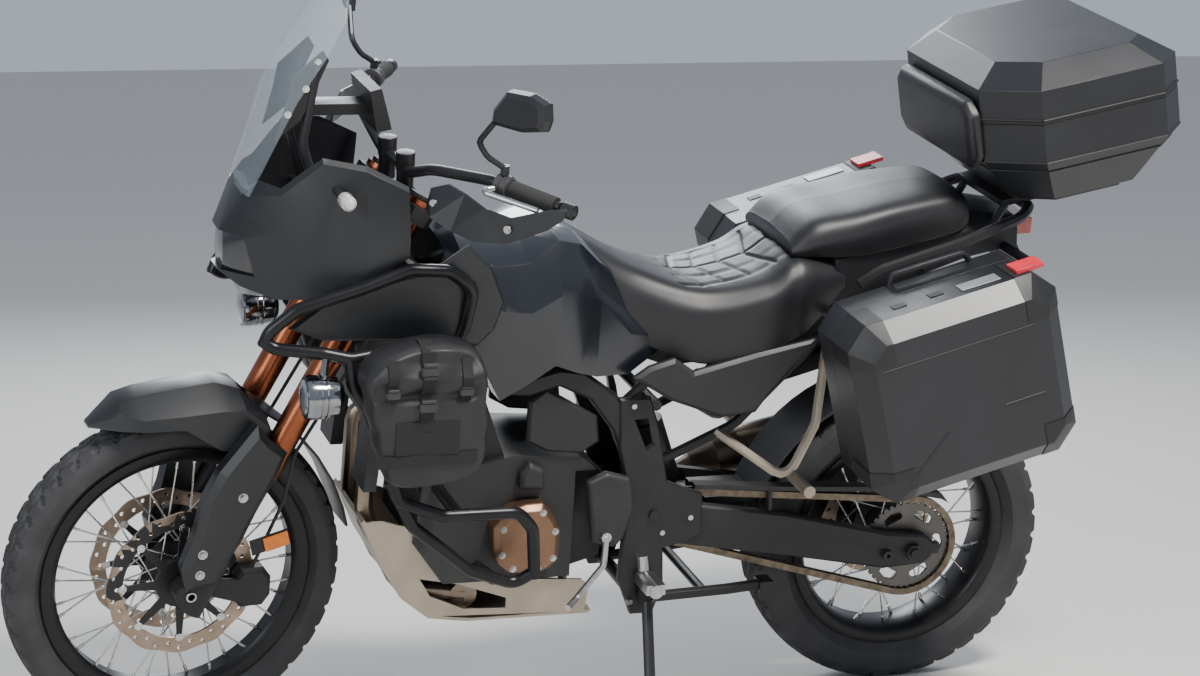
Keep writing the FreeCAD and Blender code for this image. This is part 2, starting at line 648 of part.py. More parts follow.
guard = guard.cut([leg_room, hub_room])
fender = fused(fender, flap).cut([leg_room, mirrored(leg_room)])
feature("front_fender", "steering", Part.makeCompound(solids(fender, *both(guard).Solids)))

# Handlebar and what it carries, from the clamp's middle

BAR_MIDDLE = V(s.wheelbase - s.bar_back, 0, s.bar_height)
BAR = [BAR_MIDDLE + V(-151, 458, 46), BAR_MIDDLE + V(-62, 327, 62), BAR_MIDDLE + V(4, 200, 46), BAR_MIDDLE + V(0, 80, 0)]
bar_end, bar_bend = BAR[0], BAR[1]
reach = (bar_end - bar_bend).normalize()
handlebar = tube(BAR + [V(p.x, -p.y, p.z) for p in reversed(BAR)], s.bar_radius, 90, 10)
riser_foot = axis_point(s.upper_clamp + s.clamp_depth + s.seat_gap, 44, 50)
riser = bar(riser_foot, BAR_MIDDLE + V(0, 50, 2), 15, 12)
riser = riser.cut(skin([[axis_point(s.upper_clamp + up, ahead, side) for ahead, side in (
    (-100, -200), (200, -200), (200, 200), (-100, 200))] for up in (-40, s.clamp_depth + s.seat_gap)]))
feature("handlebar", "steering", fused(handlebar, riser, mirrored(riser)))

sleeve_room = rod(bar_bend, bar_end + reach * 6, s.bar_radius + s.seat_gap)
grip = bar(bar_bend + reach * 47, bar_end + reach * 6, s.grip_radius, 16)
weight = bar(bar_end + reach * 6, bar_end + reach * 32, 15, 12)
switch = bar(bar_bend + reach * 16, bar_bend + reach * 46, 22, 12)
lever_root = bar_bend + reach * 31
lever = tube([lever_root + V(14, 2, -2), lever_root + V(50, 4, -6), bar_end + V(42, -8, -6)], 6, 24, 8)
feature("grips", "steering", both(fused(grip, weight).cut(sleeve_room), fused(switch, lever).cut(sleeve_room)))

# The hand shields, from the inner edge to the outer one: side, low edge (x, z), high edge (x, z)
SHIELD = ((270, (42, -4), (34, 34)), (300, (46, -14), (12, 50)), (340, (18, -30), (-6, 42)),
          (385, (-12, -38), (-26, 28)), (430, (-56, -28), (-62, 22)), (475, (-114, 8), (-122, 50)),
          (492, (-138, 33), (-146, 53)))
shield = skin([[BAR_MIDDLE + V(x + back, side, z) for x, z, back in (
    (*low, 0), (*high, 0), (*high, -5), (*low, -5))] for side, low, high in SHIELD])
shield_arm = bar(bar_end + reach * 30, BAR_MIDDLE + V(-146, 488, 44), 7).cut(weight)
feature("handguards", "steering", both(*solids(shield), *shield_arm.cut(shield).Solids))

# The mirrors: outline along the head's own width, then height above the bar's middle
MIRROR = ((-33, 270), (29, 278), (70, 270), (75, 238), (67, 215), (14, 199), (-70, 193), (-66, 227))
mirror_middle = BAR_MIDDLE + V(-57, 455, 0)
wide, ahead = V(-0.35, 0.94, 0).normalize(), V(0.94, 0.35, 0).normalize()
head = skin([[mirror_middle + wide * u + ahead * deep + V(0, 0, z) for u, z in inset(MIRROR, by)]
             for deep, by in ((16, 12), (8, 3), (-6, 0), (-12, 1))])
mirror_stem = tube([lever_root + V(0, 0, 34), lever_root + V(34, -8, 56), BAR_MIDDLE + V(-24, 345, 145),
                    BAR_MIDDLE + V(-36, 405, 212)], 6, 24, 8)
mirror_foot = bar(lever_root + V(0, 0, 22 + s.seat_gap), lever_root + V(0, 0, 40), 9)
mirror_stem = fused(mirror_stem, mirror_foot).cut([head, switch])
feature("mirrors", "steering", both(head, *mirror_stem.Solids))

# Frame

PIVOT = V(s.pivot_x, 0, s.pivot_z)
CENTRE_PIVOT = V(612, 0, 262)
SIDE_PIVOT = V(612, 172, 292)
SIDE_FOOT = V(644, 342, 65.2)
SIDE_FOLDED = V(-0.95, 0.27, 0.10)
SIDE_AXIS = (SIDE_FOOT - SIDE_PIVOT).cross(SIDE_FOLDED).normalize()
NECK = axis_point(s.lower_clamp + 100)
head_tube = along_rod(s.lower_clamp + s.clamp_depth + 1, s.upper_clamp - 1, 34)
spar = tube([NECK + V(-16, 16, -20), V(1010, 92, 905), V(820, 118, 800), V(690, 126, 690)], s.frame_tube, 60, 10)
down = tube([NECK + V(-14, 12, -30), V(1098, 44, 925), V(1085, 85, 800), V(1085, 85, 740)], s.frame_tube, 40, 10)
spar_cover = panel([(945, 735), (880, 768), (820, 784), (766, 775), (693, 722), (638, 623), (606, 529), (654, 536),
                    (700, 647), (752, 715), (817, 746), (880, 728)], 122, 22, 6)
plate_view = [(568, 300), (588, 240), (636, 240), (668, 320), (664, 400), (656, 496), (684, 607), (690, 716), (623, 716),
              (600, 646), (575, 531), (540, 516), (496, 500), (491, 409), (538, 392), (574, 384)]
frame_plate = panel(plate_view, s.engine_side + 1, 16, 4)
window = panel([(656, 670), (622, 673), (609, 614), (626, 602)], s.engine_side, 30)
cross = bar(V(1000, -92, 880), V(1000, 92, 880), 12)
frame_left = fused(spar, down, spar_cover, frame_plate.cut(window))
stem_room = along_rod(s.lower_clamp - 200, s.upper_clamp + 200, s.stem_radius + s.seat_gap)
pivot_rod = rod(PIVOT - V(0, s.engine_side + 24, 0), PIVOT + V(0, s.engine_side + 24, 0), s.axle_radius)
centre_pin = rod(CENTRE_PIVOT - V(0, s.engine_side + 18, 0), CENTRE_PIVOT + V(0, s.engine_side + 18, 0), s.stand_pin)
side_pin = rod(SIDE_PIVOT - SIDE_AXIS * 26, SIDE_PIVOT + SIDE_AXIS * 26, s.stand_pin)
cheek_low = rod(SIDE_PIVOT - SIDE_AXIS * 26, SIDE_PIVOT - SIDE_AXIS * (s.stand_eye / 2 + s.seat_gap), 17)
cheek_high = rod(SIDE_PIVOT + SIDE_AXIS * (s.stand_eye / 2 + s.seat_gap), SIDE_PIVOT + SIDE_AXIS * 22, 15)
main_frame = fused(head_tube, frame_left, mirrored(frame_left), cross, pivot_rod, centre_pin, side_pin, cheek_low,
                   cheek_high).cut(stem_room)
feature("main_frame", "frame", main_frame)

rail = tube([(664, 112, 700), (560, 114, 800), (330, 128, 880), (60, 120, 960), (-120, 96, 1000)], s.rail_tube, 80)
lower_rail = tube([(600, 118, 560), (430, 124, 640), (220, 126, 860), (180, 125, 905)], s.rail_tube, 60)
bridge = bar(V(-110, -98, 998), V(-110, 98, 998), s.rail_tube)
subframe = fused(rail, lower_rail, mirrored(rail), mirrored(lower_rail), bridge).cut(main_frame)
subframe = Part.makeCompound([part for part in subframe.Solids if part.Volume > 20000])
feature("subframe", "frame", subframe)

# Engine, its covers and what hangs on it

case = panel([(690, 350), (760, 330), (1040, 330), (1105, 420), (1090, 560), (900, 600), (760, 590), (690, 530)],
             -s.engine_side, 2 * s.engine_side)
barrel = panel([(905, 560), (1095, 520), (1160, 690), (975, 745)], -112, 224)
cylinder_head = panel([(968, 700), (1150, 640), (1185, 690), (1175, 765), (1020, 815), (985, 790)], -124, 248)
chain_room = block((660, s.chain_side - 16, 300), (770, s.engine_side + 1, 560))
PINION = V(s.pivot_x + s.pinion_ahead, s.chain_side, s.pivot_z)
engine = fused(case, barrel, cylinder_head).cut([main_frame, chain_room, mirrored(chain_room)])
feature("engine", "frame", engine)

cover_face = s.engine_side + s.seat_gap
generator = panel([(951, 460), (920, 498), (884, 508), (847, 509), (822, 480), (808, 452), (808, 387), (824, 368),
                   (849, 357), (913, 361), (938, 382), (947, 407)], cover_face, 50, 14)
oil_cover = panel([(894, 565), (874, 590), (842, 573), (839, 529), (892, 532)], cover_face, 24, 8)
sprocket_cover = panel([(755, 546), (713, 565), (662, 550), (650, 485), (667, 420), (687, 399), (736, 414)],
                       s.engine_side + 17 + s.seat_gap, 20, 7)
CLUTCH = [(880 + 100 * math.cos(math.tau * i / 16), 440 + 100 * math.sin(math.tau * i / 16)) for i in range(16)]
clutch = panel(CLUTCH, -cover_face, -58, 12)
feature("engine_covers", "frame", Part.makeCompound([generator, oil_cover, sprocket_cover, clutch]))

core = panel([(1189, 692), (1215, 692), (1211, 735), (1185, 735)], -185, 370)
core_side = panel([(1202, 560), (1228, 560), (1215, 692), (1189, 692)], 92, 93)
core_stay = bar(V(1165, 100, 716), V(1192, 100, 716), 8)
core = fused(core, core_side, mirrored(core_side), core_stay, mirrored(core_stay)).cut(engine)
feature("radiator", "frame", core)

header = tube([(1150, 55, 668), (1190, 55, 646), (1194, 60, 470), (1112, 70, 304), (980, 80, 286)], 19, 60, 10)
collector = tube([(990, -60, 284), (860, -90, 284), (700, -182, 272), (560, -188, 288), (470, -196, 390),
                  (380, -200, 438)], 24, 60, 10)
joined = bar(V(984, 96, 288), V(984, -96, 288), 29, 12)
silencer = bar(V(345, -200, 447), V(-190, -200, 560), 52, 14)
cone = bar(V(400, -200, 435.4), V(336, -200, 448.9), 27, 14, 50)
exhaust = fused(header, mirrored(header), collector, joined, silencer, cone).cut([engine, main_frame])
feature("exhaust", "frame", exhaust)

GUARD_LINE = ((1212, 470), (1168, 372), (1124, 300), (1064, 252), (980, 240), (720, 240))
sump = panel([*GUARD_LINE, *[(x - 6, z + 6) for x, z in reversed(GUARD_LINE)]], -122, 244)
sump_side = panel([(1206, 470), (1165, 372), (1121, 303), (1062, 256), (730, 244), (722, 300), (740, 316), (927, 330),
                   (983, 372), (1048, 410), (1110, 452), (1168, 470)], 116, 6)
sump_window = panel([(1086, 340), (1062, 300), (990, 268), (900, 264), (900, 286), (1000, 322)], 110, 20)
sump_side = sump_side.cut(sump_window)
sump_stay = bar(V(760, 60, 240), V(760, 60, 330.3), 10)
sump = fused(sump, sump_side, mirrored(sump_side), sump_stay, mirrored(sump_stay)).cut([exhaust, engine, main_frame])
feature("sump_guard", "frame", max(sump.Solids, key=lambda part: part.Volume))

# Crash bars, bags and lamps

GUARD_SIDE = 284
low_run = tube([(1000, 100, 880), (1036, 150, 858), (1069, 240, 884), (1129, 270, 892), (1290, GUARD_SIDE, 874),
                (1340, 276, 884), (1430, 246, 888), (1454, 240, 905)], s.guard_tube, 40)
high_run = tube([(1450, 240, 894), (1440, 244, 922), (1388, 250, 966), (1269, 254, 1002), (1172, 256, 1039),
                 (1093, 256, 1034), (1041, 250, 994), (1052, 240, 920), (1066, 232, 878)], s.guard_tube, 36)
link = tube([(1290, GUARD_SIDE, 874), (1284, GUARD_SIDE, 820), (1250, GUARD_SIDE, 770), (1183, GUARD_SIDE, 575),
             (1090, GUARD_SIDE, 540), (936, GUARD_SIDE, 539), (903, 280, 500), (890, 268, 392)], s.guard_tube, 36)
diagonal = tube([(886, 268, 406), (930, 262, 377), (1023, 265, 412), (1151, 276, 520), (1202, GUARD_SIDE, 622)],
                s.guard_tube, 36)
high_stay = bar(V(1060, GUARD_SIDE, 540), V(1060, s.engine_side - 20 + s.seat_gap, 540), s.guard_tube)
low_stay = bar(V(975, 264, 392), V(975, cover_face, 372), s.guard_tube)
bars = fused(low_run, high_run, link, diagonal, high_stay, low_stay).cut([main_frame, engine])
bars = max(bars.Solids, key=lambda part: part.Volume)
feature("crash_bars", "frame", both(bars))

BAG = [(1285, 871), (1253, 905), (1186, 926), (1118, 933), (1052, 904), (1042, 840), (1040, 690), (1055, 656),
       (1130, 640), (1222, 637), (1244, 689), (1279, 831)]
bag_inner = GUARD_SIDE + s.guard_tube + s.seat_gap
bag = skin([[V(x, y, z) for x, z in inset(BAG, by)] for y, by in
            ((bag_inner, 10), (bag_inner + 14, 0), (bag_inner + 76, 0), (bag_inner + 102, 16))])
feature("side_bags", "frame", both(bag))

LAMP = V(1344, 288, 802)
LAMP_SIDES = ((-40, 24), (-28, 38), (24, 44), (34, 42))
lamp = skin([[LAMP + V(x, r * math.cos(math.tau * i / 16), r * math.sin(math.tau * i / 16)) for i in range(16)]
             for x, r in LAMP_SIDES])
lamp_stay = bar(LAMP + V(-4, -6, 36), LAMP + V(-6, -6, 76), 8).cut(bars)
feature("aux_lamps", "frame", both(*solids(fused(lamp, lamp_stay))))

# Tank, seats and panels. Sections run from the crest down one side.

TANK = ((577, ((0, 900), (60, 892), (96, 868), (112, 842), (112, 824))),
        (673, ((0, 962), (70, 950), (112, 905), (140, 850), (138, 766))),
        (745, ((0, 1020), (62, 1016), (122, 1000), (156, 930), (152, 768))),
        (790, ((0, 1052), (62, 1054), (142, 1044), (180, 950), (172, 784))),
        (843, ((0, 1066), (66, 1066), (156, 1058), (198, 955), (184, 806))),
        (905, ((0, 1050), (66, 1052), (172, 1018), (207, 925), (192, 770))),
        (960, ((0, 1058), (80, 1058), (178, 1012), (208, 930), (196, 742))),
        (1040, ((0, 1066), (80, 1060), (170, 1030), (205, 965), (196, 905))),
        (1064, ((0, 1046), (70, 1040), (150, 1004), (190, 965), (184, 920))))
tank_form = form(TANK)
head_room = block((960, -134, 600), (1200, 134, 838))
tank = tank_form.cut([head_room, main_frame, subframe, bars, mirrored(bars)])
tank = max(tank.Solids, key=lambda part: part.Volume)
cap = bar(V(978, 0, 1040), V(978, 0, 1074), 46, 24).cut(tank_form)
feature("fuel_tank", "frame", Part.makeCompound([tank, cap]))

AIRBOX = [(880, 717), (846, 744), (733, 678), (726, 624), (763, 600), (838, 608), (881, 632)]
SEAT = ((215, ((0, 988), (108, 978), (134, 962), (140, 940), (132, 921))),
        (300, ((0, 1006), (116, 1000), (160, 978), (173, 930), (162, 850))),
        (340, ((0, 1004), (120, 996), (166, 970), (178, 916), (164, 826))),
        (400, ((0, 968), (120, 960), (166, 940), (182, 900), (168, 800))),
        (525, ((0, 944), (108, 938), (146, 916), (164, 876), (152, 786))),
        (650, ((0, 976), (78, 970), (112, 940), (126, 890), (120, 830))),
        (750, ((0, 1030), (60, 1024), (92, 998), (104, 950), (98, 890))),
        (800, ((0, 1058), (50, 1052), (78, 1030), (90, 1000), (86, 950))))
seat_form = form(SEAT)
rider_seat = seat_form.cut([tank_form, main_frame, subframe])
feature("rider_seat", "frame", max(rider_seat.Solids, key=lambda part: part.Volume))

PILLION = ((-58, ((0, 1112), (90, 1106), (118, 1086), (122, 1058))),
           (-20, ((0, 1126), (104, 1120), (134, 1092), (134, 1040))),
           (110, ((0, 1112), (120, 1104), (148, 1070), (144, 1014))),
           (205, ((0, 1092), (122, 1084), (152, 1046), (144, 1000))),
           (289, ((0, 1076), (118, 1068), (150, 1030), (140, 1000))),
           (336, ((0, 1034), (106, 1026), (134, 1012), (128, 1000))))
pillion = form(PILLION).cut(seat_form)
feature("pillion_seat", "frame", max(pillion.Solids, key=lambda part: part.Volume))

TAIL = ((-184, ((0, 1062), (70, 1058), (96, 1040), (104, 1000))),
        (-63, ((0, 1080), (90, 1072), (122, 1040), (124, 984))),
        (120, ((0, 1070), (110, 1052), (136, 1012), (132, 924))),
        (240, ((0, 1040), (100, 1024), (140, 990), (138, 884))))
tail_form = form(TAIL)
tail_cover = tail_form.cut([form(PILLION), seat_form, subframe])
tail_cover = max(tail_cover.Solids, key=lambda part: part.Volume)
feature("tail_cover", "frame", tail_cover)

side_panel = panel([(673, 767), (640, 790), (586, 806), (543, 776), (409, 810), (282, 835), (330, 774), (373, 723),
                    (403, 681), (477, 674), (590, 716)], 160, 18, 8).cut([seat_form, tail_form])
side_panel = max(side_panel.Solids, key=lambda part: part.Volume)
panel_pin = bar(V(520, 126, 760), V(520, 160, 760), 8).cut([subframe, seat_form])
airbox_cover = panel(AIRBOX, 128, 16, 6).cut(main_frame)
airbox_pin = bar(V(800, 100, 660), V(800, 128, 660), 9).cut(engine)
feature("side_panels", "frame", both(*solids(fused(side_panel, panel_pin)), *solids(fused(airbox_cover, airbox_pin))))

# Front fairing, lamps and screen, given from the front axle

NOSE = ((-70, ((0, 1062), (30, 1060), (36, 1040), (40, 1020), (30, 985))),
        (-108, ((0, 1150), (60, 1140), (84, 1100), (95, 1060), (70, 960))),
        (-170, ((0, 1222), (100, 1208), (140, 1160), (150, 1090), (120, 945))),
        (-240, ((0, 1290), (120, 1282), (178, 1230), (200, 1096), (180, 960))),
        (-320, ((0, 1300), (140, 1275), (205, 1220), (232, 1094), (228, 1000))),
        (-402, ((0, 1280), (150, 1240), (215, 1180), (238, 1094), (236, 1058))))
BEHIND = ((-115, ((0, 1122), (50, 1116), (74, 1090), (84, 1055), (60, 930))),
          (-170, ((0, 1420), (94, 1400), (132, 1160), (142, 1088), (110, 915))),
          (-240, ((0, 1420), (114, 1400), (170, 1230), (192, 1094), (172, 930))),
          (-320, ((0, 1420), (134, 1400), (197, 1220), (224, 1092), (220, 970))),
          (-420, ((0, 1420), (144, 1400), (207, 1180), (230, 1092), (228, 1020))))
CHIN = ((-173, ((0, 960), (55, 955), (60, 880), (58, 839))), (-130, ((0, 985), (36, 970), (34, 896), (30, 850))))
nose_form = form(NOSE, s.wheelbase)
nose_behind = form(BEHIND, s.wheelbase)
lamp_room = block(front(-160, -96, 986), front(-40, 96, 1064))
chin = form(CHIN, s.wheelbase).cut(nose_behind)
nose = fused(nose_form.cut(nose_behind), chin).cut([lamp_room, bars, mirrored(bars)])
nose = max(nose.Solids, key=lambda part: part.Volume)
feature("nose_fairing", "frame", nose)

lens_room = block(front(-150, -96 + s.seat_gap, 986 + s.seat_gap), front(-40, 96 - s.seat_gap, 1064 - s.seat_gap))
set_back = form([(x - 10, half) for x, half in NOSE], s.wheelbase)
lens = set_back.common(lens_room).cut(nose_behind)
CORNER = ((-99, 50, 971), (-162, 100, 972), (-151, 90, 944), (-111, 60, 943))
corner_lamp = skin([[front(x + back, y + back, z) for x, y, z in CORNER] for back in (2, -12)])
corner_lamp = corner_lamp.cut([nose_form, chin, nose])
feature("headlamps", "frame", Part.makeCompound(solids(max(lens.Solids, key=lambda part: part.Volume),
                                                       both(*corner_lamp.Solids))))

SHROUD = [(1400, 922), (1330, 975), (1180, 1018), (1120, 1030), (1050, 1078), (1000, 1030), (972, 960), (990, 905),
          (1022, 872), (1180, 890), (1330, 895)]
shroud = panel(SHROUD, 226, 12, 6).cut(nose_form)
COWL = [(1167, 1134), (1122, 1124), (1097, 1075), (1096, 1045), (1164, 1050)]
cowl = panel(COWL, 199, 27, 8)
cowl = cowl.cut(nose_form)
shroud_pin = bar(V(1020, 190, 980), V(1020, 226, 980), 10)
shroud = fused(shroud, cowl, shroud_pin).cut([tank_form, bars])
shroud = max(shroud.Solids, key=lambda part: part.Volume)
feature("side_shrouds", "frame", both(shroud))

stay_low, stay_far = s.lower_clamp + 105, 165
along_neck = bar(axis_point(stay_low, 30), axis_point(stay_low, stay_far), 8.5)
stay_root = axis_point(stay_low, stay_far)
stay_bar = tube([stay_root + V(0, 62, 0), stay_root + V(46, 62, 144), stay_root + V(20, 62, 304)], 9, 40)
tower = fused(along_neck, bar(stay_root - V(0, 250, 0), stay_root + V(0, 250, 0), 10), stay_bar, mirrored(stay_bar),
              bar(stay_root + V(36, -64, 204), stay_root + V(36, 64, 204), 9))
SCREEN_STAY = [(1369, 1370), (1310, 1424), (1298, 1405), (1350, 1287), (1396, 1250), (1376, 1330)]
screen_stay = panel(SCREEN_STAY, 58, 8)
dash = skin([[front(x, y, z) for x, z in ((-398, 1270), (-374, 1352), (-352, 1346), (-368, 1264))]
             for y in (-80, 80)])
dash_stay = block(front(-372, -30, 1288), front(-234, 30, 1310))
tower = fused(tower, screen_stay, mirrored(screen_stay), dash, dash_stay)
tower = tower.cut([nose_form.cut(nose_behind), main_frame])
feature("instruments", "frame", max(tower.Solids, key=lambda part: part.Volume))

# Screen: height, half width, centre and edge ahead of the axle
SCREEN = ((1144, 86, -106, -116), (1250, 112, -130, -158), (1338, 134, -153, -192), (1431, 140, -200, -248),
          (1500, 128, -242, -286), (1556, 84, -274, -300))


def screen_ring(height, half, centre, edge):
    across = ((-1, edge), (-0.6, edge * 0.4 + centre * 0.6), (0, centre), (0.6, edge * 0.4 + centre * 0.6), (1, edge))
    return ([front(x, half * share, height) for share, x in across]
            + [front(x - 4, (half - 1) * share, height) for share, x in reversed(across)])


screen = skin([screen_ring(*row) for row in SCREEN]).cut([nose_form, tower])
feature("windscreen", "frame", max(screen.Solids, key=lambda part: part.Volume))

signal = skin([[front(-264, y, 1183) + V(r * math.cos(math.tau * i / 12), 0, r * math.sin(math.tau * i / 12))
                for i in range(12)] for y, r in ((185, 9), (236, 10), (262, 16), (292, 15), (302, 8))])
feature("turn_signals", "frame", both(signal).cut(nose_form))

# Luggage, in frames of their own that follow each case's tilt

def case_frame(origin, pitch):
    """A case's frame: its own +X forward and nose down, its +Z up."""
    return FreeCAD.Placement(V(origin), FreeCAD.Rotation(V(0, 1, 0), pitch))


def in_frame(shape, frame):
    moved = shape.copy()
    moved.Placement = frame.multiply(moved.Placement)
    return moved


pannier_frame = case_frame((160, 0, 583), s.pannier_pitch)
P0, P1 = -s.pannier_length + 80, 80
inner_y, seam_y = s.pannier_side, s.pannier_side + s.pannier_shell
outer_y = seam_y + s.pannier_lid
wall = s.case_wall


def pannier_view(side, margin=0.0):
    """A pannier seen from its side, at one distance from the centre plane, with its corners cut."""
    x0, x1, z0, z1 = P0 + margin, P1 - margin, margin, s.pannier_height - margin
    cut = s.pannier_corner - margin * 0.4
    view = ((x0, z0 + cut), (x0 + cut, z0), (x1 - cut, z0), (x1, z0 + cut), (x1, z1 - cut), (x1 - cut, z1),
            (x0 + cut, z1), (x0, z1 - cut))
    return [V(x, side, z) for x, z in view]


bevel_y, ease = outer_y - s.pannier_bevel, 14
shell = skin([pannier_view(inner_y, ease), pannier_view(inner_y + 30), pannier_view(seam_y - s.case_gap)])
shell = shell.cut(skin([pannier_view(inner_y + wall, ease + wall), pannier_view(inner_y + 30, wall),
                        pannier_view(seam_y + 1, wall)]))
lid = skin([pannier_view(seam_y), pannier_view(bevel_y), pannier_view(outer_y, s.pannier_bevel)])
lid = lid.cut(skin([pannier_view(seam_y - 1, wall), pannier_view(bevel_y - wall, wall),
                    pannier_view(outer_y - wall, s.pannier_bevel + wall * 0.4)]))
base_knuckle = bar(V(-330, seam_y, -6), V(-170, seam_y, -6), 5)
base_knuckle = base_knuckle.fuse(block((-330, seam_y - 6, -6), (-170, seam_y - s.case_gap, 0)))
lid_knuckle = bar(V(-169.4, seam_y, -6), V(-10, seam_y, -6), 5)
lid_knuckle = lid_knuckle.fuse(block((-169.4, seam_y, -6), (-10, seam_y + 6, 0)))
handle = tube([(-260, inner_y + 40, s.pannier_height - 2), (-250, inner_y + 40, s.pannier_height + 22),
               (-90, inner_y + 40, s.pannier_height + 22), (-80, inner_y + 40, s.pannier_height - 2)], 7, 14)
latch = block((-360, bevel_y - 60, s.pannier_height), (-300, bevel_y - 12, s.pannier_height + 9))
case_left = Part.makeCompound(solids(fused(shell, base_knuckle, handle)))
lid_left = Part.makeCompound(solids(fused(lid, lid_knuckle, latch)))
feature("pannier_left", "frame", in_frame(case_left, pannier_frame))
feature("pannier_right", "frame", mirrored(in_frame(case_left, pannier_frame)))
feature("pannier_lid_left", "left_lid", in_frame(lid_left, pannier_frame))
feature("pannier_lid_right", "right_lid", mirrored(in_frame(lid_left, pannier_frame)))

box_frame = case_frame((-201, 0, 1113), s.topbox_pitch)
B0, B1 = 128 - s.topbox_length, 128
half_box = s.topbox_width / 2
shell_top = s.topbox_shell
lid_top = s.topbox_shell + s.topbox_lid
shoulder = lid_top - s.topbox_bevel * 0.7


def box_plan(height, margin=0.0):
    """The top box seen from above, at one height, with its corners cut."""
    cut = s.topbox_corner - margin * 0.4
    x0, x1, y = B0 + margin, B1 - margin, half_box - margin
    view = ((x1, -y + cut), (x1, y - cut), (x1 - cut, y), (x0 + cut * 0.6, y), (x0, y - cut * 0.6),
            (x0, -y + cut * 0.6), (x0 + cut * 0.6, -y), (x1 - cut, -y))
    return [V(px, py, height) for px, py in view]


waist = 118
box_shell = skin([box_plan(14, 70), box_plan(waist), box_plan(shell_top - s.case_gap)])
box_shell = box_shell.cut(skin([box_plan(14 + wall, 70 + wall), box_plan(waist, wall), box_plan(shell_top + 1, wall)]))
box_lid = skin([box_plan(shell_top), box_plan(shoulder), box_plan(lid_top, s.topbox_bevel)])
box_lid = box_lid.cut(skin([box_plan(shell_top - 1, wall), box_plan(shoulder, wall),
                            box_plan(lid_top - wall, s.topbox_bevel + wall)]))
box_hinge_x = B0 - 6
box_knuckle = bar(V(box_hinge_x, -120, shell_top), V(box_hinge_x, -0.5, shell_top), 6)
box_knuckle = box_knuckle.fuse(block((box_hinge_x, -120, shell_top - 8), (B0 + 1, -0.5, shell_top - s.case_gap)))
lid_hinge = bar(V(box_hinge_x, 0.5, shell_top), V(box_hinge_x, 120, shell_top), 6)
lid_hinge = lid_hinge.fuse(block((box_hinge_x, 0.5, shell_top), (B0 + 1, 120, shell_top + 8)))
foot = skin([box_plan(0, 96), box_plan(14.5, 90)])
feature("topbox_base", "frame", in_frame(fused(box_shell, box_knuckle, foot), box_frame))
feature("topbox_lid", "topbox_lid", in_frame(fused(box_lid, lid_hinge), box_frame))
pad_shape = skin([[V(B1 + s.seat_gap + deep, y, z) for y, z in inset(
    ((-190, 128), (-160, 100), (160, 100), (190, 128), (190, 222), (160, 250), (-160, 250), (-190, 222)), by)]
    for deep, by in ((0, 4), (12, 0), (24, 4), (32, 18))])
feature("backrest_pad", "frame", in_frame(pad_shape, box_frame))

rack_plate = in_frame(block((B0 + 60, -110, -14), (B1 - 60, 110, -s.seat_gap)), box_frame)
grab = tube([(196, 166, 946), (150, 168, 976), (-20, 163, 1024), (-160, 158, 1076), (-200, 112, 1086),
             (-200, 60, 1086)], 12, 40)
grab_stay = bar(V(40, 124, 966), V(40, 166, 1004), 9)
rack_leg = bar(V(-100, 98, 998), V(-150, 98, 1088), 9)
rack = fused(rack_plate, grab, mirrored(grab), grab_stay, mirrored(grab_stay), rack_leg, mirrored(rack_leg))
carrier_side = s.pannier_side - s.rail_tube - s.seat_gap
carrier_bar = tube([(250, 128, 880), (226, carrier_side, 892), (-130, carrier_side, 990), (-170, 220, 990),
                    (-150, 98, 1000)], s.rail_tube, 40)
carrier_low = tube([(222, carrier_side, 892), (150, carrier_side, 640), (-110, carrier_side, 700),
                    (-128, carrier_side, 988)], s.rail_tube, 40)
carrier_left = fused(carrier_bar, carrier_low)
racks = fused(rack, carrier_left, mirrored(carrier_left)).cut([subframe, tail_cover, tail_form, pillion, seat_form])
racks = Part.makeCompound([part for part in racks.Solids if part.Volume > 20000])
feature("luggage_racks", "frame", racks)

tail_lamp = block((-236, -60, 1010), (-200, 60, 1046))
lamp_stem = block((-196, -40, 1014), (-170, 40, 1040)).fuse(block((-200 + s.seat_gap, -50, 1008), (-190, 50, 1048)))
feature("tail_light", "frame", tail_lamp)
HOLDER = [(-190, 1010), (-156, 1010), (-300, 800), (-338, 640), (-348, 640), (-318, 800)]
holder = panel(HOLDER, -70, 140)
holder = fused(lamp_stem, holder).cut([tail_cover, tail_lamp, racks])
feature("plate_holder", "frame", max(holder.Solids, key=lambda part: part.Volume))

# Swingarm, chain and shock

arm_inner, arm_outer = s.chain_side + 14, s.engine_side - 1
ARM = [(672, 446), (660, 480), (560, 478), (300, 436), (60, 376), (-30, 366), (-54, 346), (-48, 316), (-30, 302),
       (60, 296), (300, 342), (560, 388), (650, 420)]
arm = panel(ARM, arm_inner, arm_outer - arm_inner, 5)
brace = panel([(560, 396), (560, 446), (440, 440), (440, 384)], -arm_inner - 1, 2 * arm_inner + 2)
pivot_tube = rod(PIVOT - V(0, arm_inner + 4, 0), PIVOT + V(0, arm_inner + 4, 0), 20)
spool_side = arm_outer + 14
spool = bar(V(60, arm_outer - 2, 330), V(60, spool_side, 330), 12, 12)
adjuster = block((-64, arm_inner + 4, 322), (-46, arm_outer - 4, 346))
swingarm = fused(arm, mirrored(arm), brace, pivot_tube, spool, mirrored(spool), adjuster, mirrored(adjuster))
spool_hole = rod(V(60, arm_outer - 4, 330), V(60, spool_side + 2, 330), s.spool_bore)
pivot_hole = rod(PIVOT - V(0, 200, 0), PIVOT + V(0, 200, 0), s.axle_radius + s.running_gap)
axle_hole = rod(REAR_AXLE - V(0, 200, 0), REAR_AXLE + V(0, 200, 0), s.axle_radius + s.running_gap)
swingarm = swingarm.cut([spool_hole, mirrored(spool_hole), pivot_hole, axle_hole, engine])
swingarm = max(swingarm.Solids, key=lambda part: part.Volume)
shaft_end = V(0, arm_outer + 22, 0)
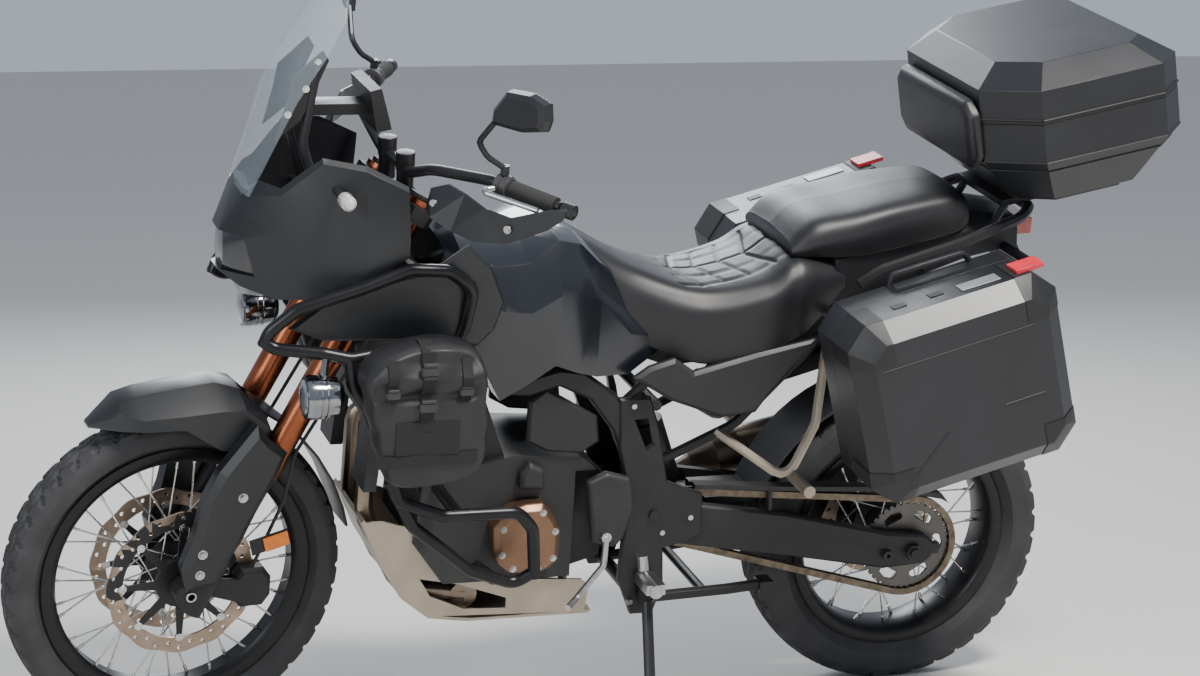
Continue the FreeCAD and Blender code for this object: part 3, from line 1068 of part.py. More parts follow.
spacer_left = bar(SPROCKET + V(0, s.seat_gap, 0), REAR_AXLE + V(0, arm_inner - s.seat_gap, 0), 17, 16)
spacer_right = bar(REAR_AXLE - V(0, s.rear_hub_width / 2 + 12, 0), REAR_AXLE - V(0, arm_inner - s.seat_gap, 0), 17, 16)
nut = bar(REAR_AXLE + V(0, arm_outer + s.seat_gap, 0), REAR_AXLE + V(0, arm_outer + 14, 0), 19, 6)
rear_shaft = fused(rod(REAR_AXLE - shaft_end, REAR_AXLE + shaft_end, s.axle_radius), spacer_left, spacer_right, nut,
                   mirrored(nut))
feature("swingarm", "frame", Part.makeCompound([swingarm, rear_shaft]))

rear_grip = 0.5 * s.disc_thickness + 3
rear_pads = panel([(52, 392), (90, 384), (146, 420), (138, 456), (86, 470), (52, 448)], -(arm_inner - 3), 47, 5)
rear_pads = rear_pads.cut(block((0, -s.rear_disc_side - rear_grip, 300), (200, -s.rear_disc_side + rear_grip, 460)))
rear_stay = panel([(100, 370), (150, 380), (146, 420), (90, 400)], -(arm_inner - s.seat_gap), 15)
rear_caliper = fused(rear_pads, rear_stay).cut(swingarm)
feature("rear_caliper", "frame", max(rear_caliper.Solids, key=lambda part: part.Volume))


def chain_line(grow):
    """The chain line round both sprockets as a row of points, moved out by grow."""
    run = PINION - SPROCKET
    big, small = s.chain_pitch_radius + grow, s.pinion_pitch_radius + grow
    tilt = math.degrees(math.atan2(run.z, run.x))
    lift = math.degrees(math.asin((big - small) / run.Length))
    points = []
    for centre, radius, start, end, count in ((PINION, small, 90 - lift, -90 + lift, 9),
                                              (SPROCKET, big, 270 + lift, 90 - lift, 24)):
        for i in range(count + 1):
            angle = math.radians(tilt + start + (end - start) * i / count)
            points.append(centre + V(radius * math.cos(angle), 0, radius * math.sin(angle)))
    return points


def chain_strip(low, high):
    """The link plates of one side, as one strip."""
    rings = []
    for outer, inner in zip(chain_line(s.link_height / 2), chain_line(-s.link_height / 2)):
        rings.append([V(p.x, side, p.z) for p, side in ((outer, low), (outer, high), (inner, high), (inner, low))])
    return skin(rings, hoop=True)


half_chain = s.roller_width / 2
strips = [chain_strip(s.chain_side + half_chain, s.chain_side + half_chain + s.link_wall),
          chain_strip(s.chain_side - half_chain - s.link_wall, s.chain_side - half_chain)]
pitch_line = chain_line(0)
pitch_wire = Part.makePolygon(pitch_line + pitch_line[:1])
rollers = [bar(point - V(0, half_chain, 0), point + V(0, half_chain, 0), s.roller_radius, 4)
           for point in pitch_wire.discretize(round(pitch_wire.Length / s.chain_pitch) + 1)[:-1]]
feature("chain", "frame", Part.makeCompound(strips + rollers))

chain_guard = panel([(500, 506), (300, 490), (40, 474), (-66, 452), (-84, 430), (-66, 440), (40, 463), (300, 480),
                     (500, 496)], s.chain_side - 12, 30)
guard_pin = bar(V(330, s.chain_side + 24, 432), V(330, s.chain_side + 15, 486), 5).cut([swingarm, chain_guard])
hugger = skin([[REAR_AXLE + V(r * math.cos(math.radians(a)), y, r * math.sin(math.radians(a))) for r, y in (
    (s.rear_radius + 20, -74), (s.rear_radius + 20, 74), (s.rear_radius + 26, 74), (s.rear_radius + 26, -74))]
    for a in range(16, 77, 6)])
hugger_leg = block((337, -60, 440), (456, 60, 456))
hugger = fused(hugger, hugger_leg).cut(swingarm)
hugger = max(hugger.Solids, key=lambda part: part.Volume)
feature("rear_guards", "frame", Part.makeCompound(solids(hugger, chain_guard, guard_pin)))

shock_body = bar(V(520, 0, 450), V(590, 0, 640), 26, 12)
spring = bar(V(530, 0, 478), V(580, 0, 613), 38, 12)
shock_top = bar(V(590, 0, 640), V(600, 0, 690), 14)
shock_cross = bar(V(602, -126, 690), V(602, 126, 690), 12)
shock = fused(shock_body, spring, shock_top, shock_cross).cut([swingarm, main_frame, engine, subframe, hugger, seat_form])
feature("shock", "frame", max(shock.Solids, key=lambda part: part.Volume))

# Pegs and levers

peg = fused(bar(V(616, 150, 330), V(616, 240, 326), 15, 12), block((596, 162, 318), (636, 236, 340)))
peg_mount = bar(V(620, 151, 372), V(616, 156, 332), 12)
pegs = both(fused(peg, peg_mount)).cut(main_frame)
shift = tube([(712, 180, 432), (714, 182, 370), (770, 188, 304), (800, 222, 298)], 7, 16)
shift_root = bar(V(712, s.engine_side + 37 + 2 * s.seat_gap, 430), V(712, 184, 430), 11)
brake = tube([(660, -146, 380), (700, -180, 346), (780, -192, 326), (798, -224, 320)], 7, 16)
levers = fused(shift, shift_root).cut([main_frame, sprocket_cover, engine])
feature("foot_pegs", "frame", Part.makeCompound(solids(pegs, max(levers.Solids, key=lambda part: part.Volume),
                                                       max(brake.cut([main_frame, engine, pegs]).Solids,
                                                           key=lambda part: part.Volume))))

hanger = tube([(470, 124, 628), (330, 190, 536), (268, 172, 650), (236, 126, 852)], 10, 30)
rear_peg = bar(V(310, 170, 538), V(310, 270, 538), 13, 12)
hangers = fused(hanger, rear_peg).cut([subframe, side_panel, racks])
feature("pillion_pegs", "frame", both(max(hangers.Solids, key=lambda part: part.Volume)))

# Stands

side_eye = rod(SIDE_PIVOT - SIDE_AXIS * (s.stand_eye / 2), SIDE_PIVOT + SIDE_AXIS * (s.stand_eye / 2), 18)
eye_bore = rod(SIDE_PIVOT - SIDE_AXIS * 40, SIDE_PIVOT + SIDE_AXIS * 40, s.stand_pin + s.running_gap)
world_up = lean.inverse().Rotation.multVec(V(0, 0, 1))
side_leg = bar(SIDE_PIVOT + (SIDE_FOOT - SIDE_PIVOT) * 0.03, SIDE_FOOT + world_up * 8, 12, 10)
side_foot = bar(SIDE_FOOT, SIDE_FOOT + world_up * 10, 34, 16)
feature("side_stand", "side_stand", fused(side_eye, side_leg, side_foot).cut(eye_bore))

stand_side = s.engine_side + 1 - s.seat_gap
stand_tube = rod(CENTRE_PIVOT - V(0, stand_side, 0), CENTRE_PIVOT + V(0, stand_side, 0), 14)
stand_leg = tube([CENTRE_PIVOT + V(0, 116, 0), V(420, 132, 276), V(350, 146, 288)], 12, 60)
stand_shoe = block((328, 126, 274), (358, 166, 300))
stand_brace = bar(V(470, -126, 273), V(470, 126, 273), 10)
stand_bore = rod(CENTRE_PIVOT - V(0, 200, 0), CENTRE_PIVOT + V(0, 200, 0), s.stand_pin + s.running_gap)
stand_half = fused(stand_leg, stand_shoe)
centre_stand = fused(stand_tube, stand_half, mirrored(stand_half), stand_brace).cut(stand_bore)
feature("centre_stand", "centre_stand", centre_stand)

# Parked: the whole machine moved so that its origin is the bottom centre of its box

doc.recompute()
boxes = [node.Shape.BoundBox for node in nodes]
to_origin = V(-(min(b.XMin for b in boxes) + max(b.XMax for b in boxes)) / 2,
              -(min(b.YMin for b in boxes) + max(b.YMax for b in boxes)) / 2, -min(b.ZMin for b in boxes))
park = FreeCAD.Placement(to_origin, FreeCAD.Rotation())
for node in nodes:
    node.Placement = park.multiply(node.Placement)
doc.recompute()

for thing in doc.Objects:
    if "Invalid" in thing.State or "Error" in thing.State:
        raise RuntimeError(f"{thing.Label} failed: {thing.State}")
for node in nodes:
    if node.Shape.isNull() or not node.Shape.isValid() or not node.Shape.Solids:
        raise RuntimeError(f"{node.Label} has no valid solid")

os.makedirs("parts", exist_ok=True)
for node in nodes:
    node.Shape.exportStep(f"parts/{node.Label}.step")
print(len(nodes), "nodes written")
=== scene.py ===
import json
import math

import bmesh
import bpy
from mathutils import Matrix, Vector


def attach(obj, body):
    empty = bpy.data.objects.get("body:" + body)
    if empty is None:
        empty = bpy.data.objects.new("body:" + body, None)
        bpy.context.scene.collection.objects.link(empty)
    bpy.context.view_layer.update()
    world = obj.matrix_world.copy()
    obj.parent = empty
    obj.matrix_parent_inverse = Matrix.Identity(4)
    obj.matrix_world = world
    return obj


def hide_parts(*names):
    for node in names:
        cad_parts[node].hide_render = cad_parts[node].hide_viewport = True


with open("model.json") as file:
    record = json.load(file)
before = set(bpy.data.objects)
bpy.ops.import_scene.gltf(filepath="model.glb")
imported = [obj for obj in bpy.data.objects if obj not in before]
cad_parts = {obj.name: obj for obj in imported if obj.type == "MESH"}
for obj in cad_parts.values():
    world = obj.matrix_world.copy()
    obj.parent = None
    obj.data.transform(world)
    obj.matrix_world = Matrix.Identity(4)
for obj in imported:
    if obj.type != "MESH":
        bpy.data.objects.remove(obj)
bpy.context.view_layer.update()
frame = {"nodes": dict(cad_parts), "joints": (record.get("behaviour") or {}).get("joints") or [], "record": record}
nodes = frame["nodes"]
body_of = {node: body for body, held in frame["record"]["behaviour"]["bodies"].items() for node in held}
joint = {entry["name"]: entry for entry in frame["joints"]}

# Where the machine stands. Every piece is shaped upright and straight, in metres, with the rear axle
# above the origin, and is then leaned onto its side stand. The steered pieces are first turned to the
# left about the raked steering axis.
LEAN, STEER, RAKE = math.radians(11), math.radians(7), math.radians(27.5)
WHEELBASE, TRAIL = 1.570, 0.113
FRONT_RADIUS, REAR_RADIUS = 0.347, 0.333
rear_axle = Vector(joint["rear_wheel_spin"]["pos_m"])
parked = (Matrix.Translation(rear_axle) @ Matrix.Rotation(-LEAN, 4, "X")
          @ Matrix.Translation((0, 0, -REAR_RADIUS)))
axis_up = Vector((-math.sin(RAKE), 0, math.cos(RAKE)))
axis_ahead = Vector((math.cos(RAKE), 0, math.sin(RAKE)))
axis_foot = Vector((WHEELBASE + TRAIL, 0, 0))
steered = (parked @ Matrix.Translation(axis_foot) @ Matrix.Rotation(STEER, 4, axis_up)
           @ Matrix.Translation(-axis_foot))
front_wheel = steered @ Matrix.Translation((WHEELBASE, 0, FRONT_RADIUS))
rear_wheel = parked @ Matrix.Translation((0, 0, REAR_RADIUS))

# The view: a long lens on the left, ahead of the machine and well above it. It is rolled a few degrees,
# so that the leaning machine stands nearly upright in the picture.
CAMERA_PLACE = Vector((2.71134, 5.75579, 2.76505))
CAMERA_TURN, CAMERA_DIP, CAMERA_ROLL = (math.radians(a) for a in (160.648, 17.872, 3.701))


def look_from():
    """The camera's matrix among the upright pieces."""
    level = math.cos(CAMERA_DIP)
    back = Vector((math.sin(CAMERA_TURN) * level, -math.cos(CAMERA_TURN) * level, math.sin(CAMERA_DIP)))
    right = Vector((0, 0, 1)).cross(back).normalized()
    roll = Matrix.Rotation(CAMERA_ROLL, 3, back)
    right, up = roll @ right, roll @ back.cross(right)
    return Matrix.Translation(CAMERA_PLACE) @ Matrix((right, up, back)).transposed().to_4x4()


camera = bpy.data.objects.new("camera", bpy.data.cameras.new("camera"))
camera.data.lens = 93.51
camera.data.sensor_width = 36.0
camera.matrix_world = parked @ look_from()
bpy.context.scene.collection.objects.link(camera)
bpy.context.scene.camera = camera

# The studio: a pale floor, a soft bluish sky and three large soft lamps. The key stands high on the
# left and behind, as the sun does in the photograph.
floor_mesh = bpy.data.meshes.new("floor")
bm = bmesh.new()
bmesh.ops.create_grid(bm, x_segments=1, y_segments=1, size=30)
bm.to_mesh(floor_mesh)
bm.free()
floor = bpy.data.objects.new("floor", floor_mesh)
bpy.context.scene.collection.objects.link(floor)
floor_paint = bpy.data.materials.new("pale_floor")
floor_paint.use_nodes = True
floor_paint.node_tree.nodes["Principled BSDF"].inputs["Base Color"].default_value = (0.60, 0.585, 0.56, 1)
floor_paint.node_tree.nodes["Principled BSDF"].inputs["Roughness"].default_value = 0.85
floor_mesh.materials.append(floor_paint)

world = bpy.data.worlds.new("soft_sky")
bpy.context.scene.world = world
world.use_nodes = True
world.node_tree.nodes["Background"].inputs["Color"].default_value = (0.78, 0.86, 1.0, 1)
world.node_tree.nodes["Background"].inputs["Strength"].default_value = 0.55


def soft_lamp(name, place, aim, size, power, tint):
    """A round studio lamp at one place, turned towards its aim."""
    lamp = bpy.data.lights.new(name, "AREA")
    lamp.shape = "DISK"
    lamp.size = size
    lamp.energy = power
    lamp.color = tint
    holder = bpy.data.objects.new(name, lamp)
    holder.matrix_world = (Matrix.Translation(place)
                           @ (Vector(place) - Vector(aim)).to_track_quat("Z", "Y").to_matrix().to_4x4())
    bpy.context.scene.collection.objects.link(holder)


soft_lamp("key", (-1.2, 3.2, 5.5), (0, 0, 0.6), 1.4, 560, (1.0, 0.97, 0.92))
soft_lamp("front_fill", (5.0, 3.5, 2.6), (0.2, 0, 0.7), 3.0, 150, (0.93, 0.97, 1.0))
soft_lamp("rim_light", (-1.0, -5.0, 4.0), (0, 0, 0.8), 3.0, 240, (0.93, 0.97, 1.0))


# Front wheel: a 21 inch spoked wheel. The tyre is moulded rubber with angled tread blocks, the rim is
# rolled and coated black, and the plain wire spokes run to nipples at the rim's edge.

def finish(name, colour, rough, metal=0.0, grain=900.0, relief=0.12, shade=0.18, patch=8.0, coat=0.0):
    """A procedural surface: broad patches of tone and gloss, and a fine grain in relief."""
    made_of = bpy.data.materials.new(name)
    made_of.use_nodes = True
    tree = made_of.node_tree
    shader = tree.nodes["Principled BSDF"]
    place = tree.nodes.new("ShaderNodeTexCoord")
    broad, fine = tree.nodes.new("ShaderNodeTexNoise"), tree.nodes.new("ShaderNodeTexNoise")
    broad.inputs["Scale"].default_value = patch
    broad.inputs["Detail"].default_value = 5.0
    fine.inputs["Scale"].default_value = grain
    fine.inputs["Detail"].default_value = 2.0
    tone = tree.nodes.new("ShaderNodeValToRGB")
    tone.color_ramp.elements[0].position = 0.3
    tone.color_ramp.elements[1].position = 0.72
    tone.color_ramp.elements[0].color = (*[c * (1 - shade) for c in colour], 1)
    tone.color_ramp.elements[1].color = (*[min(1.0, c * (1 + shade)) for c in colour], 1)
    gloss = tree.nodes.new("ShaderNodeMapRange")
    gloss.inputs["To Min"].default_value = rough * 0.82
    gloss.inputs["To Max"].default_value = min(1.0, rough * 1.22)
    bump = tree.nodes.new("ShaderNodeBump")
    bump.inputs["Strength"].default_value = relief
    bump.inputs["Distance"].default_value = 0.0004
    for source, target in ((place.outputs["Object"], broad.inputs["Vector"]),
                           (place.outputs["Object"], fine.inputs["Vector"]),
                           (broad.outputs["Fac"], tone.inputs["Fac"]),
                           (broad.outputs["Fac"], gloss.inputs["Value"]),
                           (fine.outputs["Fac"], bump.inputs["Height"]),
                           (tone.outputs["Color"], shader.inputs["Base Color"]),
                           (gloss.outputs["Result"], shader.inputs["Roughness"]),
                           (bump.outputs["Normal"], shader.inputs["Normal"])):
        tree.links.new(source, target)
    shader.inputs["Metallic"].default_value = metal
    shader.inputs["Coat Weight"].default_value = coat
    shader.inputs["Coat Roughness"].default_value = 0.12
    return made_of


def made(bm, name, place, body, paint, stands_for=(), sharp=35, edge=0.0):
    """Puts a modelled shape in its place on the machine as one piece."""
    bmesh.ops.transform(bm, matrix=place, verts=bm.verts)
    bmesh.ops.recalc_face_normals(bm, faces=bm.faces)
    for face in bm.faces:
        face.smooth = True
    mesh = bpy.data.meshes.new(name)
    bm.to_mesh(mesh)
    bm.free()
    mesh.set_sharp_from_angle(angle=math.radians(sharp))
    piece = bpy.data.objects.new(name, mesh)
    bpy.context.scene.collection.objects.link(piece)
    for coat in paint if isinstance(paint, (list, tuple)) else [paint]:
        mesh.materials.append(coat)
    if edge:
        eased = piece.modifiers.new("eased_edges", "BEVEL")
        eased.width = edge
        eased.segments = 2
        eased.limit_method = "ANGLE"
        eased.angle_limit = math.radians(28)
    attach(piece, body)
    if stands_for:
        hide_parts(*stands_for)
    return piece


def hooped(profile, steps):
    """A closed (radius, side) outline spun round the axle."""
    bm = bmesh.new()
    ring = [bm.verts.new((0, side, radius)) for radius, side in profile]
    edges = [bm.edges.new((ring[i - 1], ring[i])) for i in range(len(ring))]
    bmesh.ops.spin(bm, geom=ring + edges, cent=(0, 0, 0), axis=(0, 1, 0), angle=math.tau, steps=steps,
                   use_merge=True)
    bmesh.ops.remove_doubles(bm, verts=bm.verts, dist=0.00001)
    return bm


def tyre(radius, height, width, lip, blocks, depth, slant):
    """A tyre: its section spun, then its tread grooves pressed in."""
    seat, half = radius - height, width / 2
    crown = []
    for t in [i / 13 for i in range(-13, 14)]:
        drop = 0.10 * height if abs(t) > 0.98 else 0
        crown.append((radius - 0.14 * height * abs(t) ** 2.4 - drop, 0.90 * half * t))
    wall = [(radius - 0.30 * height, half * 0.97), (radius - 0.45 * height, half),
            (seat + 0.32 * height, half - 0.003), (seat + 0.013, lip - 0.0055), (seat, lip - 0.006)]
    profile = [(r, -s) for r, s in reversed(wall)] + crown + wall
    bm = hooped(profile, blocks * 8)
    for vert in bm.verts:
        reach = math.hypot(vert.co.x, vert.co.z)
        aside = vert.co.y / half
        if reach > radius - 0.17 * height and abs(aside) < 0.93:
            turn = math.atan2(vert.co.z, vert.co.x) / math.tau * blocks
            zigzag = 0.16 * (abs(2 * (turn % 1) - 1) - 0.5)
            stagger = 0.5 if aside > 0 else 0
            cross_groove = (turn + slant * abs(aside) + stagger) % 1 < 0.26 and abs(aside) > 0.2
            if cross_groove or abs(abs(aside) - 0.36 - zigzag) < 0.05 or abs(aside - zigzag) < 0.04:
                vert.co.x *= (reach - depth) / reach
                vert.co.z *= (reach - depth) / reach
    return bm


def wires(seat, rim_width, hub_reach, hub_side, nipple):
    """The 36 crossed spokes of one wheel, each with its nipple."""
    bm = bmesh.new()
    rim_reach = seat - 0.022
    for i in range(36):
        side = 1 if i % 2 else -1
        angle, lead = math.radians(i * 10), math.radians(52 if (i // 2) % 2 else -52)
        hub_end = Vector((hub_reach * math.cos(angle + lead), side * hub_side,
                          hub_reach * math.sin(angle + lead)))
        rim_end = Vector((rim_reach * math.cos(angle), side * rim_width * 0.2, rim_reach * math.sin(angle)))
        run = rim_end - hub_end
        turn = run.to_track_quat("Z", "Y").to_matrix().to_4x4()
        for radius, low, high in ((0.0019, 0.0, run.length), (nipple, run.length - 0.016, run.length)):
            place = Matrix.Translation(hub_end + run.normalized() * (low + high) / 2) @ turn
            bmesh.ops.create_cone(bm, cap_ends=True, segments=8, radius1=radius, radius2=radius,
                                  depth=high - low, matrix=place)
    return bm


RUBBER = finish("tyre_rubber", (0.030, 0.030, 0.032), 0.72, grain=500, relief=0.4, shade=0.35, patch=16)
RIM_BLACK = finish("rim_black", (0.014, 0.014, 0.016), 0.32, metal=0.5, grain=1600, relief=0.05, patch=20)
SPOKE_STEEL = finish("spoke_steel", (0.62, 0.62, 0.60), 0.26, metal=1.0, grain=2000, relief=0.04, patch=60)
COATED = finish("coated_black_metal", (0.018, 0.018, 0.020), 0.42, metal=0.35, grain=1300, relief=0.16,
                patch=12)
FRONT_SEAT, FRONT_RIM_WIDTH = 0.267, 0.062
TREAD_INSET = 0.0002


def rim(seat, width):
    """A rolled rim: a well between two upright lips."""
    lip = width / 2
    half = [(seat - 0.022, width * 0.3), (seat - 0.012, lip * 0.93), (seat - 0.005, lip), (seat + 0.010, lip),
            (seat + 0.0115, lip - 0.002), (seat + 0.010, lip - 0.0042), (seat - 0.0003, lip - 0.005),
            (seat - 0.0003, width * 0.38), (seat - 0.017, width * 0.26)]
    return hooped(half + [(r, -s) for r, s in reversed(half)], 120)


made(tyre(FRONT_RADIUS - TREAD_INSET, height=0.080, width=0.092, lip=0.031, blocks=44, depth=0.0055,
          slant=0.55), "front_tyre_rubber", front_wheel, "front_wheel", RUBBER, ("front_tyre",), 30)
made(rim(FRONT_SEAT, FRONT_RIM_WIDTH), "front_rim", front_wheel, "front_wheel", RIM_BLACK,
     ("front_wire_wheel",), 40)
made(wires(FRONT_SEAT, FRONT_RIM_WIDTH, hub_reach=0.048, hub_side=0.0405, nipple=0.0034), "front_spokes",
     front_wheel, "front_wheel", SPOKE_STEEL)


def hub(radius, width):
    """A turned hub with a flange for the spokes at each end."""
    end = width / 2
    half = [(0.0112, end), (radius + 0.004, end), (radius + 0.006, end - 0.002),
            (radius + 0.016, end - 0.012), (radius + 0.016, end - 0.020), (radius, end - 0.030),
            (radius - 0.004, end - 0.040)]
    return hooped(half + [(r, -s) for r, s in reversed(half)], 64)


made(hub(radius=0.030, width=0.113), "front_hub", front_wheel, "front_wheel", COATED, (), 35)

# Front brake: two floating stainless discs with petal edges, worn to a warm bronze, riveted through
# bobbins to a black carrier.
WORN_DISC = finish("worn_disc", (0.36, 0.28, 0.22), 0.36, metal=1.0, grain=1500, relief=0.08, shade=0.25,
                   patch=30)
SIDES = ((1, "left"), (-1, "right"))
FRONT_BAND_INNER, BOBBIN_REACH, DISC_SIDE = 0.134, 0.1205, 0.059


def dressed(node, paint, edge=0.0015, sharp=38, second=None, where=None):
    """A copy of a node's own solid, merged, with its edges eased as moulding or machining leaves them."""
    bm = bmesh.new()
    bm.from_mesh(nodes[node].data)
    bmesh.ops.remove_doubles(bm, verts=bm.verts, dist=0.00002)
    bmesh.ops.dissolve_limit(bm, angle_limit=math.radians(0.6), verts=bm.verts, edges=bm.edges)
    if where:
        for face in bm.faces:
            face.material_index = int(where(face.calc_center_median()))
    coats = [paint, second] if second else [paint]
    return made(bm, node + "_finished", Matrix.Identity(4), body_of[node], coats, (node,),
                sharp, edge)


def off_band(centre, radius):
    """Whether a face belongs to the carrier inside a disc's band, by its distance from the axle."""
    return lambda middle: (middle - centre).length < radius


dressed("front_discs", WORN_DISC, 0.0004, 30, COATED,
        off_band(front_wheel.to_translation(), FRONT_BAND_INNER))


def bobbins(radius, side, count):
    """The rivets between a disc and its carrier."""
    bm = bmesh.new()
    for i in range(count):
        angle = math.tau * i / count
        place = Matrix.Translation((radius * math.cos(angle), side, radius * math.sin(angle)))
        for wide, deep in ((0.0085, 0.0075), (0.0045, 0.0095)):
            bmesh.ops.create_cone(bm, cap_ends=True, segments=20, radius1=wide, radius2=wide, depth=deep,
                                  matrix=place @ Matrix.Rotation(math.pi / 2, 4, "X"))
    return bm


for side, name in SIDES:
    made(bobbins(BOBBIN_REACH, DISC_SIDE * side, 8), f"front_bobbins_{name}", front_wheel, "front_wheel",
         SPOKE_STEEL, edge=0.0004)
CALIPER_BLACK = finish("cast_caliper_black", (0.022, 0.022, 0.023), 0.5, metal=0.3, grain=700, relief=0.3,
                       patch=15)
dressed("front_calipers", CALIPER_BLACK, 0.003)
STEEL = finish("turned_steel", (0.5, 0.5, 0.5), 0.3, metal=1.0, grain=1800, relief=0.08, shade=0.2, patch=40)
dressed("front_axle", STEEL, 0.001)

# Fork: copper-coloured outer tubes slide over the dark inner tubes, and cast lugs carry the axle.
# Two forged clamps hold both legs and the steering stem.
COPPER = finish("copper_anodised", (0.30, 0.095, 0.045), 0.26, metal=1.0, grain=2200, relief=0.05,
                shade=0.22, patch=14)
LEG_SIDE, LEG_AHEAD = 0.105, 0.040
TUBE_FOOT, TUBE_TOP, CAP_TOP = 0.641, 1.271, 1.280


def pipe(name, routes, radius, place, body, paint, stands_for=(), bend=0.05, sides=8):
    """Round bent tubes, each a route of points whose corners are rolled to an even bend."""
    shape = bpy.data.curves.new(name, "CURVE")
    shape.dimensions = "3D"
    shape.bevel_depth = radius
    shape.bevel_resolution = sides
    shape.use_fill_caps = True
    for route in routes:
        points = [Vector(p) for p in route]
        line = [points[0]]
        for before, corner, after in zip(points, points[1:], points[2:]):
            into, out = (corner - before).normalized(), (after - corner).normalized()
            turn = into.angle(out)
            if turn < 0.02:
                line.append(corner)
                continue
            shorter = min((corner - before).length, (after - corner).length)
            reach = min(bend * math.tan(turn / 2), 0.45 * shorter)
            rolled = reach / math.tan(turn / 2)
            centre = corner + (out - into).normalized() * (rolled / math.cos(turn / 2))
            steps = max(3, int(math.degrees(turn) / 7))
            for i in range(steps + 1):
                swing = Matrix.Rotation(turn * i / steps, 3, into.cross(out))
                line.append(centre + swing @ (corner - into * reach - centre))
        line.append(points[-1])
        run = shape.splines.new("POLY")
        run.points.add(len(line) - 1)
        for point, at in zip(run.points, line):
            point.co = (*at, 1)
    former = bpy.data.objects.new(name + "_route", shape)
    bpy.context.scene.collection.objects.link(former)
    bpy.context.view_layer.update()
    bm = bmesh.new()
    bm.from_mesh(bpy.data.meshes.new_from_object(former))
    bpy.data.objects.remove(former)
    bmesh.ops.remove_doubles(bm, verts=bm.verts, dist=0.00001)
    return made(bm, name, place, body, paint, stands_for, 40)


def on_axis(along, ahead=0.0, side=0.0):
    """A point given along, ahead of and beside the steering axis."""
    return axis_foot + axis_up * along + axis_ahead * ahead + Vector((0, side, 0))


pipe("fork_outer_tubes", [[on_axis(TUBE_FOOT, LEG_AHEAD, side), on_axis(TUBE_TOP, LEG_AHEAD, side)]
                          for side in (LEG_SIDE, -LEG_SIDE)],
     0.0279, steered, "steering", COPPER, ("fork_tubes",), sides=14)
pipe("fork_top_caps", [[on_axis(TUBE_TOP + 0.001, LEG_AHEAD, side), on_axis(CAP_TOP, LEG_AHEAD, side)]
                       for side in (LEG_SIDE, -LEG_SIDE)],
     0.021, steered, "steering", COATED, sides=10)
dressed("fork_lowers", COATED, 0.001)
dressed("triple_clamps", COATED, 0.003)

# Front mudguard and fork guards: black moulded plastic with crisp folds, and a soft flap behind the
# tyre. Each guard is bolted to the axle lug.
PLASTIC = finish("satin_black_plastic", (0.011, 0.012, 0.014), 0.36, grain=1100, relief=0.22, shade=0.2,
                 patch=6)
dressed("front_fender", PLASTIC, 0.003, 24)
GUARD_FACE = 0.1464
GUARD_BOLTS = ((1.560, 0.402), (1.556, 0.446), (1.478, 0.560))


def bolts(places, facing, head=0.007, deep=0.005):
    """Hexagon bolt heads with their washers, all facing one way."""
    bm = bmesh.new()
    turn = Vector(facing).to_track_quat("Z", "Y").to_matrix().to_4x4()
    for at in places:
        for wide, low, high, count in ((head * 1.5, 0.0, 0.0015, 20), (head, 0.0015, 0.0015 + deep, 6)):
            lift = Matrix.Translation(Vector(at)) @ turn @ Matrix.Translation((0, 0, (low + high) / 2))
            bmesh.ops.create_cone(bm, cap_ends=True, segments=count, radius1=wide, radius2=wide * 0.94,
                                  depth=high - low, matrix=lift)
    return bm


for side, name in SIDES:
    made(bolts([(x, GUARD_FACE * side, z) for x, z in GUARD_BOLTS], (0, side, 0)), f"guard_bolts_{name}",
         steered, "steering", STEEL)


def block(place, size):
    """A plain box of one size in its place."""
    bm = bmesh.new()
    bmesh.ops.create_cube(bm, size=1.0, matrix=place @ Matrix.Diagonal((*size, 1)))
    return bm


AMBER = finish("amber_reflector", (0.75, 0.20, 0.02), 0.22, grain=300, relief=0.5, shade=0.15, patch=60)
reflector_tilt = Matrix.Rotation(math.radians(14), 4, "Y")
for side, name in SIDES:
    made(block(Matrix.Translation((1.400, side * 0.1335, 0.452)) @ reflector_tilt, (0.052, 0.006, 0.030)),
         f"fork_reflector_{name}", steered, "steering", AMBER, edge=0.002)
    made(block(Matrix.Translation((1.412, side * 0.129, 0.450)) @ reflector_tilt, (0.082, 0.003, 0.034)),
         f"reflector_bracket_{name}", steered, "steering", COATED, edge=0.001)
dressed("brake_hoses", RUBBER, 0.0)

# Handlebar: a tapered black bar on two risers, with rubber grips, bar-end weights, switch blocks and
# levers. Moulded shields guard the hands.
BAR_MIDDLE = Vector((1.142, 0, 1.190))
BAR_HALF = [BAR_MIDDLE + Vector(p) for p in ((-0.151, 0.458, 0.046), (-0.062, 0.327, 0.062),
                                             (0.004, 0.200, 0.046), (0, 0.080, 0))]
RISER_SIDE = 0.050
RISER = [(0, 0), (0, 0.017), (0.045, 0.017), (0.052, 0.019), (0.085, 0.019), (0.088, 0)]
BAR_END = [(0, 0), (0, 0.0145), (0.006, 0.015), (0.024, 0.015), (0.026, 0.012), (0.026, 0)]
SWITCH_BLOCK = [(0, 0), (0, 0.019), (0.003, 0.022), (0.013, 0.022), (0.0135, 0.0205), (0.0165, 0.0205),
                (0.017, 0.022), (0.027, 0.022), (0.030, 0.019), (0.030, 0)]
mirrored_across = Matrix.Diagonal((1, -1, 1, 1))


def across(route):
    """The same route on the machine's other side."""
    return [Vector((p[0], -p[1], p[2])) for p in route]


